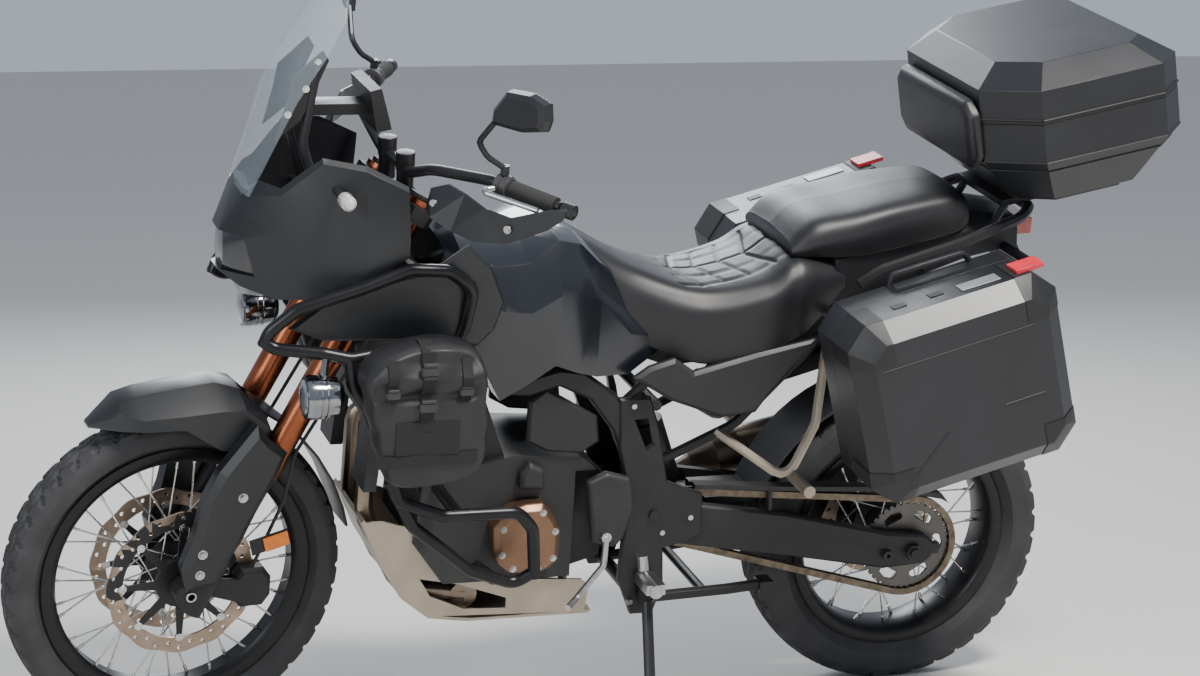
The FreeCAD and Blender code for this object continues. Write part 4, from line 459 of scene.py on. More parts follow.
def lathed(start, towards, profile, steps=32):
    """A turned piece: (distance along, radius) points spun about the line from start."""
    start = Vector(start)
    line = (Vector(towards) - start).normalized()
    turn = line.to_track_quat("Z", "Y")
    bm = bmesh.new()
    chain = [bm.verts.new(start + turn @ Vector((radius, 0, along))) for along, radius in profile]
    edges = [bm.edges.new(pair) for pair in zip(chain, chain[1:])]
    bmesh.ops.spin(bm, geom=chain + edges, cent=start, axis=line, angle=math.tau, steps=steps, use_merge=True)
    bmesh.ops.remove_doubles(bm, verts=bm.verts, dist=0.00001)
    return bm


def joined(shapes):
    """Several shapes as one piece."""
    whole = bmesh.new()
    for shape in shapes:
        part = bpy.data.meshes.new("part")
        shape.to_mesh(part)
        shape.free()
        whole.from_mesh(part)
        bpy.data.meshes.remove(part)
    return whole


pipe("handlebar_tube", [BAR_HALF + across(reversed(BAR_HALF))], 0.0111, steered, "steering", COATED,
     ("handlebar",), bend=0.09)
made(joined([lathed(on_axis(1.260, 0.044, side), BAR_MIDDLE + Vector((0, side, 0.002)), RISER)
             for side in (RISER_SIDE, -RISER_SIDE)]),
     "bar_risers", steered, "steering", COATED, edge=0.001)
outward = (BAR_HALF[0] - BAR_HALF[1]).normalized()
ribs = [point for i in range(15) for point in ((0.050 + i * 0.0062, 0.0158), (0.0515 + i * 0.0062, 0.0170),
                                               (0.0545 + i * 0.0062, 0.0170), (0.056 + i * 0.0062, 0.0158))]
grip = [(0.047, 0), (0.047, 0.0185), (0.0495, 0.0185), *ribs, (0.145, 0.0172), (0.149, 0.0168), (0.149, 0)]
GRIP_RUBBER = finish("grip_rubber", (0.020, 0.020, 0.020), 0.8, grain=900, relief=0.35, patch=25)
SWITCH = finish("switch_plastic", (0.028, 0.028, 0.030), 0.5, grain=1000, relief=0.2, patch=20)
for side, name in SIDES:
    turn = steered if side > 0 else steered @ mirrored_across
    made(lathed(BAR_HALF[1], BAR_HALF[0], grip), f"grip_{name}", turn, "steering", GRIP_RUBBER,
         ("grips",) if side > 0 else ())
    made(lathed(BAR_HALF[0] + outward * 0.006, BAR_HALF[0] + outward, BAR_END), f"bar_end_{name}", turn,
         "steering", COATED)
    lever = BAR_HALF[1] + outward * 0.031
    pipe(f"lever_{name}", [[lever + Vector((0.014, 0.002, -0.002)), lever + Vector((0.050, 0.004, -0.006)),
                            BAR_HALF[0] + Vector((0.042, -0.008, -0.006))]],
         0.0058, turn, "steering", STEEL, bend=0.024)
    made(lathed(BAR_HALF[1] + outward * 0.016, BAR_HALF[0], SWITCH_BLOCK, 24), f"switch_block_{name}", turn,
         "steering", SWITCH)
dressed("handguards", PLASTIC, 0.0025, 30)
for side, name in SIDES:
    shield_bolts = [BAR_MIDDLE + Vector((-0.058, 0.432 * side, 0.0)),
                    BAR_MIDDLE + Vector((0.036, 0.292 * side, 0.010))]
    made(bolts(shield_bolts, (0.75, 0.6 * side, 0), 0.0055, 0.003), f"handguard_bolts_{name}", steered,
         "steering", STEEL)

# Mirrors: rounded heads of black plastic with a flat silvered glass towards the rider. Each is carried
# by a bent stem on its switch block.
MIRROR_GLASS = finish("mirror_glass", (0.72, 0.75, 0.78), 0.03, metal=1.0, grain=50, relief=0.0, shade=0.05)
dressed("mirrors", PLASTIC, 0.004, 30)
MIRROR = ((-0.033, 0.270), (0.029, 0.278), (0.070, 0.270), (0.075, 0.238), (0.067, 0.215), (0.014, 0.199),
          (-0.070, 0.193), (-0.066, 0.227))
HEAD_WIDE, HEAD_AHEAD = Vector((-0.349, 0.937, 0)), Vector((0.937, 0.349, 0))
HEAD_MIDDLE = BAR_MIDDLE + Vector((-0.057, 0.455, 0))
GLASS_MIDDLE, GLASS_HEIGHT = 0.006, 0.236
GLASS_SHARE_WIDE, GLASS_SHARE_HIGH = 0.86, 0.84
GLASS_BEHIND, GLASS_THICK = 0.0122, 0.0012
for side, name in SIDES:
    bm = bmesh.new()
    corners = []
    for aside, high in MIRROR:
        aside = GLASS_MIDDLE + (aside - GLASS_MIDDLE) * GLASS_SHARE_WIDE
        high = GLASS_HEIGHT + (high - GLASS_HEIGHT) * GLASS_SHARE_HIGH
        level = HEAD_MIDDLE + HEAD_WIDE * aside - HEAD_AHEAD * GLASS_BEHIND
        corners.append(bm.verts.new(level + Vector((0, 0, high))))
    lifted = bmesh.ops.extrude_face_region(bm, geom=[bm.faces.new(corners)])["geom"]
    bmesh.ops.translate(bm, vec=HEAD_AHEAD * -GLASS_THICK,
                        verts=[v for v in lifted if isinstance(v, bmesh.types.BMVert)])
    made(bm, f"mirror_glass_{name}", steered if side > 0 else steered @ mirrored_across, "steering",
         MIRROR_GLASS)

# Frame and rear frame: welded steel tubes and pivot plates in black powder coat. Small plated bolts
# hold the engine and the rear frame to the plates.
dressed("main_frame", COATED, 0.0015)
dressed("subframe", COATED, 0.001)
PLATE_FACE = 0.1467
PLATE_BOLTS = ((0.580, 0.420), (0.520, 0.450), (0.640, 0.270), (0.660, 0.700))
for side, name in SIDES:
    made(bolts([(x, PLATE_FACE * side, z) for x, z in PLATE_BOLTS], (0, side, 0), 0.0065, 0.005),
         f"frame_bolts_{name}", parked, "motorcycle", STEEL)

# Engine and radiator: a cast alloy twin painted dark, whose bronze-coloured generator cover is held by
# a ring of small bolts. The finned radiator hangs ahead of it.
ENGINE_DARK = finish("painted_casting", (0.035, 0.035, 0.036), 0.55, metal=0.4, grain=420, relief=0.5,
                     patch=10)
BRONZE = finish("bronze_cover", (0.24, 0.14, 0.09), 0.4, metal=0.9, grain=900, relief=0.15, shade=0.2,
                patch=12)
GENERATOR_REAR, GENERATOR_TOP, GENERATOR_FACE = 0.79, 0.515, 0.181
GENERATOR_BOLTS = ((0.931, 0.460), (0.905, 0.487), (0.850, 0.492), (0.822, 0.450), (0.824, 0.392),
                   (0.855, 0.372), (0.908, 0.374), (0.932, 0.405))
dressed("engine", ENGINE_DARK, 0.003)


def is_generator(middle):
    """Whether a face belongs to the bronze cover low on the left."""
    upright = parked.inverted() @ middle
    return upright.y > 0 and upright.x > GENERATOR_REAR and upright.z < GENERATOR_TOP


dressed("engine_covers", ENGINE_DARK, 0.003, 30, BRONZE, is_generator)
made(bolts([(x, GENERATOR_FACE, z) for x, z in GENERATOR_BOLTS], (0, 1, 0), 0.005, 0.004), "cover_bolts",
     parked, "motorcycle", STEEL)
RADIATOR = finish("radiator_fins", (0.05, 0.05, 0.052), 0.5, metal=0.6, grain=2600, relief=0.8, patch=30)
dressed("radiator", RADIATOR, 0.001)

# Exhaust and sump guard: bent steel headers, browned by heat, join under the engine and feed one
# silencer on the right. The guard below is folded alloy plate on stays.
HEAT_STEEL = finish("heated_steel", (0.30, 0.24, 0.19), 0.35, metal=1.0, grain=1500, relief=0.08, shade=0.35,
                    patch=9)
dressed("exhaust", HEAT_STEEL, 0.002, 45)
SUMP_ALLOY = finish("sump_alloy", (0.42, 0.36, 0.29), 0.45, metal=0.85, grain=700, relief=0.2, shade=0.15,
                    patch=9)
dressed("sump_guard", SUMP_ALLOY, 0.0015)

# Crash bars: one-inch steel tube in black powder coat, bent cold and welded into loops. One set goes
# round the engine and the tank on each side.
TUBE_BLACK = finish("powder_coated_tube", (0.016, 0.016, 0.018), 0.3, metal=0.5, grain=1400, relief=0.15,
                    patch=14)
GUARD_SIDE, GUARD_TUBE, GUARD_BEND = 0.284, 0.0127, 0.038
guard_routes = [
    [(1.000, 0.100, 0.880), (1.036, 0.150, 0.858), (1.069, 0.240, 0.884), (1.129, 0.270, 0.892),
     (1.290, GUARD_SIDE, 0.874), (1.340, 0.276, 0.884), (1.430, 0.246, 0.888), (1.454, 0.240, 0.905)],
    [(1.450, 0.240, 0.894), (1.440, 0.244, 0.922), (1.388, 0.250, 0.966), (1.269, 0.254, 1.002),
     (1.172, 0.256, 1.039), (1.093, 0.256, 1.034), (1.041, 0.250, 0.994), (1.052, 0.240, 0.920),
     (1.066, 0.232, 0.878)],
    [(1.290, GUARD_SIDE, 0.874), (1.284, GUARD_SIDE, 0.820), (1.250, GUARD_SIDE, 0.770),
     (1.183, GUARD_SIDE, 0.575), (1.090, GUARD_SIDE, 0.540), (0.936, GUARD_SIDE, 0.539),
     (0.903, 0.280, 0.500), (0.890, 0.268, 0.392)],
    [(0.886, 0.268, 0.406), (0.930, 0.262, 0.377), (1.023, 0.265, 0.412), (1.151, 0.276, 0.520),
     (1.202, GUARD_SIDE, 0.622)],
    [(1.060, GUARD_SIDE, 0.540), (1.060, 0.130, 0.540)], [(0.975, 0.264, 0.392), (0.975, 0.152, 0.372)]]
pipe("crash_bars_left", guard_routes, GUARD_TUBE, parked, "motorcycle", TUBE_BLACK,
     ("crash_bars",), GUARD_BEND)
pipe("crash_bars_right", [across(route) for route in guard_routes], GUARD_TUBE, parked, "motorcycle",
     TUBE_BLACK, (), GUARD_BEND)

# Tank: a pressed shell under deep blue-black paint, with soft shoulders and a waist that falls to the
# seat. The round filler cap is turned and bolted on.
TANK_PAINT = finish("tank_paint", (0.008, 0.010, 0.014), 0.22, grain=1800, relief=0.03, shade=0.12, patch=4,
                    coat=0.5)
CAP_FOOT = Vector((0.978, 0, 1.050))
FILLER_CAP = [(0, 0.046), (0.016, 0.046), (0.020, 0.043), (0.0205, 0.036), (0.0225, 0.034), (0.0235, 0.012),
              (0.0225, 0.0)]
dressed("fuel_tank", TANK_PAINT, 0.012, 40)
made(lathed(CAP_FOOT, CAP_FOOT + Vector((0, 0, 1)), FILLER_CAP, 48), "filler_cap", parked, "motorcycle",
     COATED)

# Seats: shaped foam under black vinyl. The rider's seat is stitched across its middle in rolls and has
# a smooth skirt, and the pillion's seat is plain.
VINYL = finish("seat_vinyl", (0.013, 0.013, 0.015), 0.42, grain=1500, relief=0.5, shade=0.2, patch=9)
SEAT = ((0.215, ((0, 0.988), (0.108, 0.978), (0.134, 0.962), (0.140, 0.940), (0.132, 0.921))),
        (0.300, ((0, 1.006), (0.116, 1.000), (0.160, 0.978), (0.173, 0.930), (0.162, 0.850))),
        (0.340, ((0, 1.004), (0.120, 0.996), (0.166, 0.970), (0.178, 0.916), (0.164, 0.826))),
        (0.400, ((0, 0.968), (0.120, 0.960), (0.166, 0.940), (0.182, 0.900), (0.168, 0.800))),
        (0.525, ((0, 0.944), (0.108, 0.938), (0.146, 0.916), (0.164, 0.876), (0.152, 0.786))),
        (0.650, ((0, 0.976), (0.078, 0.970), (0.112, 0.940), (0.126, 0.890), (0.120, 0.830))),
        (0.750, ((0, 1.030), (0.060, 1.024), (0.092, 0.998), (0.104, 0.950), (0.098, 0.890))),
        (0.800, ((0, 1.058), (0.050, 1.052), (0.078, 1.030), (0.090, 1.000), (0.086, 0.950))))
PILLION = ((-0.058, ((0, 1.112), (0.090, 1.106), (0.118, 1.086), (0.122, 1.058))),
           (-0.020, ((0, 1.126), (0.104, 1.120), (0.134, 1.092), (0.134, 1.040))),
           (0.110, ((0, 1.112), (0.120, 1.104), (0.148, 1.070), (0.144, 1.014))),
           (0.205, ((0, 1.092), (0.122, 1.084), (0.152, 1.046), (0.144, 1.000))),
           (0.289, ((0, 1.076), (0.118, 1.068), (0.150, 1.030), (0.140, 1.000))),
           (0.336, ((0, 1.034), (0.106, 1.026), (0.134, 1.012), (0.128, 1.000))))
ROLL_LENGTH, ROLL_SWEEP, SEAM_REACH = 0.052, 0.28, 0.006


def ringed(rings):
    """A closed form through rings of as many points each."""
    bm = bmesh.new()
    before = None
    for outline in rings:
        ring = [bm.verts.new(p) for p in outline]
        edges = [bm.edges.new((ring[i - 1], ring[i])) for i in range(len(ring))]
        if before:
            bmesh.ops.bridge_loops(bm, edges=before + edges)
        else:
            bmesh.ops.edgenet_fill(bm, edges=edges)
        before = edges
    bmesh.ops.edgenet_fill(bm, edges=before)
    return bm


def lofted(sections, along, round_steps):
    """A form drawn smoothly through half sections: (x, [(y, z) from the crest down one side])."""
    def smooth(points, steps):
        """Points on an even curve through the given ones."""
        line = []
        for i in range(len(points) - 1):
            a, b, c, d = points[max(i - 1, 0)], points[i], points[i + 1], points[min(i + 2, len(points) - 1)]
            for step in range(steps):
                t = step / steps
                line.append(0.5 * (2 * b + (c - a) * t + (2 * a - 5 * b + 4 * c - d) * t * t
                                   + (3 * b - 3 * c + d - a) * t ** 3))
        return [*line, points[-1]]

    halves = [[Vector((x, y, z)) for y, z in half] for x, half in sections]
    columns = [smooth(list(column), along) for column in zip(*halves)]
    rings = []
    for half in zip(*columns):
        half = smooth(list(half), round_steps)
        rings.append([*reversed(half), *across(half[1:])])
    return ringed(rings)


def quilted(bm, start, end, half, depth):
    """Presses stitched channels into the top of a padded form: swept-back rows between long seams."""
    bm.normal_update()
    for vert in bm.verts:
        side = abs(vert.co.y)
        if vert.normal.z < 0.2 or not start - SEAM_REACH < vert.co.x < end or side > half + SEAM_REACH:
            continue
        row = ((vert.co.x - start + ROLL_SWEEP * side) % ROLL_LENGTH) / ROLL_LENGTH
        near_row = max(0.0, 1 - min(row, 1 - row) / 0.10)
        near_seam = max(max(0.0, 1 - abs(side - seam) / 0.005) for seam in (0.0, half * 0.52, half))
        vert.co -= vert.normal * depth * max(near_row, near_seam)


seat = lofted(SEAT, along=30, round_steps=16)
quilted(seat, start=0.235, end=0.560, half=0.104, depth=0.0045)
rider_seat = made(seat, "rider_seat_cover", parked, "motorcycle", VINYL, ("rider_seat",), 180)
pillion_seat = made(lofted(PILLION, along=16, round_steps=12), "pillion_seat_cover", parked, "motorcycle",
                    VINYL, ("pillion_seat",), 180)

# Covers beside and behind the seats, and over the airbox: moulded black plastic with a fine grain, so
# that it hides scratches. They are held by pins and screws.
GRAINED = finish("grained_black_plastic", (0.014, 0.014, 0.016), 0.5, grain=700, relief=0.45, shade=0.2,
                 patch=8)
dressed("tail_cover", GRAINED, 0.003)
dressed("side_panels", GRAINED, 0.003)

# Nose, side shrouds, lamps, instruments and windscreen: painted black mouldings in flat facets, with the
# lamps behind clear lenses. The tall screen is clear plastic, bolted to a bracket behind the nose.
dressed("nose_fairing", PLASTIC, 0.003, 24)
ACCENT = finish("grey_accent", (0.085, 0.088, 0.092), 0.4, grain=1000, relief=0.2, shade=0.15, patch=10)
COWL_FOOT, COWL_SIDE, COWL_REAR = 1.046, 0.2, 1.088
CORNER_LAMP_TOP = 0.978


def is_cowl(middle):
    """Whether a face belongs to the grey cowl above the shroud."""
    upright = parked.inverted() @ middle
    return upright.z > COWL_FOOT and abs(upright.y) > COWL_SIDE and upright.x > COWL_REAR


dressed("side_shrouds", PLASTIC, 0.003, 24, ACCENT, is_cowl)
LAMP_GLASS = finish("lamp_glass", (0.20, 0.21, 0.23), 0.06, metal=0.4, grain=300, relief=0.3, shade=0.4,
                    patch=40, coat=1.0)
LAMP_DARK = finish("dark_lamp_recess", (0.012, 0.013, 0.016), 0.08, grain=200, relief=0.2, shade=0.3,
                   patch=30, coat=1.0)


def is_corner_lamp(middle):
    """Whether a face belongs to one of the two clear lamps below the dark main lens."""
    return (parked.inverted() @ middle).z < CORNER_LAMP_TOP


dressed("headlamps", LAMP_DARK, 0.001, 38, LAMP_GLASS, is_corner_lamp)
dressed("instruments", COATED, 0.002)
DISPLAY = finish("display_glass", (0.010, 0.012, 0.016), 0.08, grain=60, relief=0.02, shade=0.2, patch=12,
                 coat=1.0)
display_place = Matrix.Translation((1.1826, 0, 1.3115)) @ Matrix.Rotation(math.radians(16.3), 4, "Y")
made(block(display_place, (0.002, 0.140, 0.066)), "display", parked, body_of["instruments"], DISPLAY,
     edge=0.0006)
BRIGHT = finish("bright_nut", (0.72, 0.72, 0.70), 0.18, metal=1.0, grain=2000, relief=0.04, shade=0.08,
                patch=50)
SCREEN_BOLT_SIDE = 0.0665
SCREEN_BOLTS = ((1.320, 1.402), (1.342, 1.350), (1.376, 1.300))
for side, name in SIDES:
    made(bolts([(x, SCREEN_BOLT_SIDE * side, z) for x, z in SCREEN_BOLTS], (0, side, 0), 0.005, 0.003),
         f"screen_bolts_{name}", parked, "motorcycle", BRIGHT)
CLEAR = finish("clear_screen", (0.55, 0.64, 0.70), 0.05, grain=40, relief=0.02, shade=0.05, coat=1.0)
CLEAR.node_tree.nodes["Principled BSDF"].inputs["Alpha"].default_value = 0.14
dressed("windscreen", CLEAR, 0.0005, 60)
SIGNAL_LENS = finish("signal_lens", (0.55, 0.53, 0.50), 0.12, grain=260, relief=0.5, shade=0.15, patch=60,
                     coat=1.0)
LENS_SIDE = 0.270
dressed("turn_signals", PLASTIC, 0.001, 60, SIGNAL_LENS,
        lambda middle: abs((parked.inverted() @ middle).y) > LENS_SIDE)

# Soft side bags: coated black fabric, rolled shut at the top and held down by webbing straps with
# moulded buckles. Each bag hangs outside the crash bar.
FABRIC = finish("coated_fabric", (0.014, 0.014, 0.015), 0.48, grain=620, relief=0.6, shade=0.35, patch=14)
WEBBING = finish("webbing", (0.010, 0.010, 0.011), 0.8, grain=1400, relief=1.0, shade=0.3, patch=40)
BAG = [(1.285, 0.871), (1.253, 0.905), (1.186, 0.926), (1.118, 0.933), (1.052, 0.904), (1.042, 0.840),
       (1.040, 0.690), (1.055, 0.656), (1.130, 0.640), (1.222, 0.637), (1.244, 0.689), (1.279, 0.831)]
BAG_MIDDLE = Vector((1.158, 0, 0.780))
BAG_INNER, BAG_DEPTH = 0.2975, 0.100
STRAP_MIDDLE, STRAP_FRONT, STRAP_REAR = 1.166, 1.235, 1.090
STRAP_TOP, STRAP_DROP = 0.930, 0.288
LARGE_BUCKLE, SMALL_BUCKLE = (0.032, 0.030), (0.024, 0.024)


def rounded_ring(outline, count=96):
    """Evenly spaced points on a closed outline whose corners are smoothed."""
    corners = [Vector((x, 0, z)) for x, z in outline]
    for _ in range(3):
        corners = [p for a, b in zip(corners, corners[1:] + corners[:1])
                   for p in (a.lerp(b, 0.25), a.lerp(b, 0.75))]
    lengths = [(b - a).length for a, b in zip(corners, corners[1:] + corners[:1])]
    step, walked, index, line = sum(lengths) / count, 0.0, 0, []
    for i in range(count):
        while walked + lengths[index] < i * step:
            walked += lengths[index]
            index += 1
        share = (i * step - walked) / lengths[index]
        line.append(corners[index].lerp(corners[(index + 1) % len(corners)], share))
    return line


def bag_depth(x, z):
    """How far out the bag's face stands at one place, with the folds below its rolled top."""
    far = min(1.0, (Vector((x, 0, z)) - BAG_MIDDLE).length / 0.17)
    fold = 0.0035 * math.sin(62 * x + 46 * z + 3 * math.sin(30 * z)) * (0.3 + max(0.0, (z - 0.72) * 4))
    roll = 0.012 * max(0.0, 1 - abs(z - 0.868) / 0.030) - 0.007 * max(0.0, 1 - abs(z - 0.828) / 0.014)
    return BAG_INNER + BAG_DEPTH - 0.012 * far ** 3 + fold + roll


def soft_bag():
    """The bag as rings that run out from its back to the middle of its face."""
    outline = rounded_ring(BAG)
    wall = [(0.93, 0.0), (0.975, 0.05), (1.0, 0.2), (1.01, 0.5), (1.0, 0.78), (0.985, 0.9), (0.96, 0.96)]
    face_rings = [(0.94 - 0.03 * i, None) for i in range(30)]
    rings = []
    for spread, rise in wall + face_rings:
        ring = []
        for point in outline:
            at = BAG_MIDDLE + (point - BAG_MIDDLE) * spread
            face = bag_depth(at.x, at.z)
            crease = 0.002 * math.sin(90 * at.z + 25 * at.x) if rise else 0
            at.y = face if rise is None else BAG_INNER + (face - BAG_INNER) * rise
            ring.append(at + (point - BAG_MIDDLE).normalized() * crease)
        rings.append(ring)
    return ringed(rings)


def strap(route, width, along_width, thick=0.0022):
    """A flat webbing strap laid along a route."""
    bm = bmesh.new()
    half = Vector(along_width).normalized() * width / 2
    rows = [(bm.verts.new(Vector(p) - half), bm.verts.new(Vector(p) + half)) for p in route]
    for (a, b), (c, d) in zip(rows, rows[1:]):
        bm.faces.new((a, b, d, c))
    bmesh.ops.recalc_face_normals(bm, faces=bm.faces)
    bmesh.ops.solidify(bm, geom=bm.faces[:], thickness=thick)
    return bm


def on_bag(x, z, lift=0.004):
    """A point on the bag's face, lifted a little."""
    return (x, bag_depth(x, z) + lift, z)


def buckle(x, z, wide, tall):
    """A side-release buckle: a low moulded body with its two arms."""
    place = Matrix.Translation(on_bag(x, z, 0.007))
    arm = (0.004, 0.006, tall * 0.44)
    return joined([block(place @ Matrix.Translation(shift), size)
                   for shift, size in (((0, 0, 0), (wide, 0.009, tall * 0.6)),
                                       ((0, 0.001, tall * 0.42), (wide * 0.9, 0.010, tall * 0.22)),
                                       ((wide * 0.5, 0, 0), arm), ((-wide * 0.5, 0, 0), arm))])


for side, name in SIDES:
    turn = parked if side > 0 else parked @ mirrored_across
    bag = made(soft_bag(), f"side_bag_{name}", turn, "motorcycle", FABRIC,
               ("side_bags",) if side > 0 else (), 180)
    heights = [STRAP_TOP - STRAP_DROP * i / 24 for i in range(1, 15)]
    middle_strap = strap([on_bag(STRAP_MIDDLE, 0.925, -0.070), on_bag(STRAP_MIDDLE, 0.931, -0.03)]
                         + [on_bag(STRAP_MIDDLE, z) for z in heights], 0.026, (1, 0, 0))
    band = strap([on_bag(1.262 - 0.2 * i / 20, 0.700 + 0.006 * i / 20) for i in range(21)], 0.024, (0, 0, 1))
    side_straps = [strap([on_bag(x, 0.905 - 0.012 * i, 0.0035) for i in range(8)], 0.020, (1, 0, 0))
                   for x in (STRAP_FRONT, STRAP_REAR)]
    pocket = strap([on_bag(1.225 - 0.125 * i / 14, 0.748, 0.003) for i in range(15)], 0.066, (0, 0, 1), 0.003)
    made(joined([middle_strap, band, *side_straps, pocket]), f"bag_straps_{name}", turn, "motorcycle",
         WEBBING)
    made(joined([buckle(STRAP_MIDDLE, 0.885, *LARGE_BUCKLE), buckle(STRAP_MIDDLE, 0.812, *LARGE_BUCKLE),
                 buckle(STRAP_FRONT, 0.838, *SMALL_BUCKLE), buckle(STRAP_REAR, 0.838, *SMALL_BUCKLE)]),
         f"bag_buckles_{name}", turn, "motorcycle", SWITCH, edge=0.0012)

# Auxiliary lamps: turned housings in dark chrome with three cooling fins, hung under the crash bars.
# Each has a round lens pressed into its front.
DARK_CHROME = finish("dark_chrome", (0.30, 0.31, 0.33), 0.12, metal=1.0, grain=2000, relief=0.03, patch=20)
AUX_SIDE, AUX_HEIGHT, AUX_FRONT = 0.288, 0.802, 1.3775
AUX_LENS = [(0, 0.034), (0.002, 0.0345), (0.0045, 0.030), (0.0065, 0.018), (0.0072, 0.0)]
AUX_FIN = [(0, 0.0400), (0.0012, 0.0432), (0.0036, 0.0432), (0.0048, 0.0400)]
aux_aim = (1.6, AUX_SIDE, AUX_HEIGHT)
dressed("aux_lamps", DARK_CHROME, 0.001, 50)
for side, name in SIDES:
    turn = parked if side > 0 else parked @ mirrored_across
    made(lathed((AUX_FRONT, AUX_SIDE, AUX_HEIGHT), aux_aim, AUX_LENS, 40), f"aux_lens_{name}", turn,
         "motorcycle", LAMP_GLASS)
    made(joined([lathed((x, AUX_SIDE, AUX_HEIGHT), aux_aim, AUX_FIN, 40) for x in (1.336, 1.348, 1.360)]),
         f"aux_fins_{name}", turn, "motorcycle", DARK_CHROME)

# Panniers: moulded black cases that open outwards. The lid has corner caps, a low ridge or two, a red
# latch and a blank plate on top.
CASE = finish("moulded_case", (0.012, 0.013, 0.016), 0.36, grain=900, relief=0.3, shade=0.2, patch=5)
CAP = finish("case_corner", (0.009, 0.009, 0.010), 0.5, grain=800, relief=0.4, shade=0.2, patch=12)
LATCH_RED = finish("latch_red", (0.62, 0.03, 0.05), 0.35, grain=500, relief=0.15, shade=0.1, patch=30)
PLATE = finish("blank_plate", (0.30, 0.31, 0.32), 0.4, metal=0.5, grain=1200, relief=0.1, patch=30)
CASE_REAR, CASE_FRONT, CASE_HIGH, CASE_CUT = -0.370, 0.080, 0.390, 0.046
SEAM, OUTER, BEVEL = 0.340, 0.480, 0.038
CAP_LENGTH, CAP_START = 0.082, 0.014
LATCH_FRONT, LATCH_LIFT = -0.28, 0.0004
PLATE_THICK, RECESS_THICK = 0.0024, 0.0016
case_place = parked @ Matrix.Translation((0.160, 0, 0.583)) @ Matrix.Rotation(math.radians(15.5), 4, "Y")


def eight_sided(side, margin, grow):
    """A pannier's outline at one distance from the centre plane, with its corners cut."""
    x0, x1 = CASE_REAR + margin - grow, CASE_FRONT - margin + grow
    z0, z1 = margin - grow, CASE_HIGH - margin + grow
    cut = CASE_CUT - margin * 0.4
    return [Vector(p) for p in ((x0, side, z0 + cut), (x0 + cut, side, z0), (x1 - cut, side, z0),
                                (x1, side, z0 + cut), (x1, side, z1 - cut), (x1 - cut, side, z1),
                                (x0 + cut, side, z1), (x0, side, z1 - cut))]


def corner_cap(ahead, up):
    """One corner of a slightly larger lid, cut free by two planes."""
    bm = ringed([eight_sided(SEAM + CAP_START, 0, 0.0018), eight_sided(OUTER - BEVEL, 0, 0.0018),
                 eight_sided(OUTER + 0.0014, BEVEL, 0.0010)])
    x = CASE_FRONT - CAP_LENGTH if ahead > 0 else CASE_REAR + CAP_LENGTH
    z = CASE_HIGH - CAP_LENGTH if up > 0 else CAP_LENGTH
    for point, facing in (((x, 0, 0), (ahead, 0, 0)), ((0, 0, z), (0, 0, up))):
        bmesh.ops.bisect_plane(bm, geom=bm.verts[:] + bm.edges[:] + bm.faces[:], plane_co=point,
                               plane_no=facing, clear_inner=True)
    return bm


def ridge(start, end, radius):
    """A low moulded ridge line."""
    start, end = Vector(start), Vector(end)
    run = end - start
    bm = bmesh.new()
    bmesh.ops.create_cone(bm, cap_ends=True, segments=10, radius1=radius, radius2=radius, depth=run.length,
                          matrix=Matrix.Translation((start + end) / 2)
                          @ run.to_track_quat("Z", "Y").to_matrix().to_4x4())
    return bm


def on_latch(back):
    """Whether a face belongs to the latch on top of a lid, where back leads to the case's own places."""
    return lambda middle: (back @ middle).z > CASE_HIGH + LATCH_LIFT and (back @ middle).x < LATCH_FRONT


LID_RIDGES = [((0.030, OUTER, 0.052), (-0.003, OUTER, 0.063), 0.0024),
              ((-0.003, OUTER, 0.063), (-0.085, OUTER, 0.132), 0.0024),
              ((-0.212, OUTER, 0.151), (-0.300, OUTER, 0.151), 0.0024),
              ((0.030, OUTER, 0.300), (-0.300, OUTER, 0.300), 0.0012)]
for side, name in SIDES:
    turn = case_place if side > 0 else parked @ mirrored_across @ parked.inverted() @ case_place
    dressed(f"pannier_{name}", CASE, 0.003, 24)
    dressed(f"pannier_lid_{name}", CASE, 0.004, 24, LATCH_RED, on_latch(turn.inverted()))
    body = body_of[f"pannier_lid_{name}"]
    made(joined([corner_cap(ahead, up) for ahead in (1, -1) for up in (1, -1)]), f"corner_caps_{name}", turn,
         body, CAP, edge=0.001)
    made(joined([ridge(*line) for line in LID_RIDGES]), f"lid_ridges_{name}", turn, body, CASE)
    plate_place = Matrix.Translation((-0.225, 0.408, CASE_HIGH + PLATE_THICK / 2))
    made(block(plate_place, (0.085, 0.034, PLATE_THICK)), f"blank_plate_{name}", turn, body, PLATE,
         edge=0.0008)
    # The two recesses in the lid are drawn as thin slabs laid on top of it, darker and rougher than the lid: their
    # darkness is painted shade.
    recess_shade_patches = [Matrix.Translation((x, 0.398, CASE_HIGH + RECESS_THICK / 2)) for x in (-0.055, -0.135)]
    made(joined([block(place, (0.030, 0.020, RECESS_THICK)) for place in recess_shade_patches]), f"lid_recess_shade_{name}",
         turn, body, CAP, edge=0.0006)

# Top box: a black case with a bevelled lid, ridge lines round its waist and a latch in each front
# corner. A padded backrest is fixed to its front.
BOX_REAR, BOX_FRONT, BOX_HALF, BOX_CUT = -0.297, 0.128, 0.275, 0.095
RIM_HEIGHT, RIM_MARGIN, RIM_THICK, REAR_SIDE = 0.209, -0.0004, 0.0028, 4
LATCH_IN, LATCH_HEIGHT = 0.060, 0.247
box_place = parked @ Matrix.Translation((-0.201, 0, 1.113)) @ Matrix.Rotation(math.radians(11.5), 4, "Y")
dressed("topbox_base", CASE, 0.003, 24)
dressed("topbox_lid", CASE, 0.005, 24)


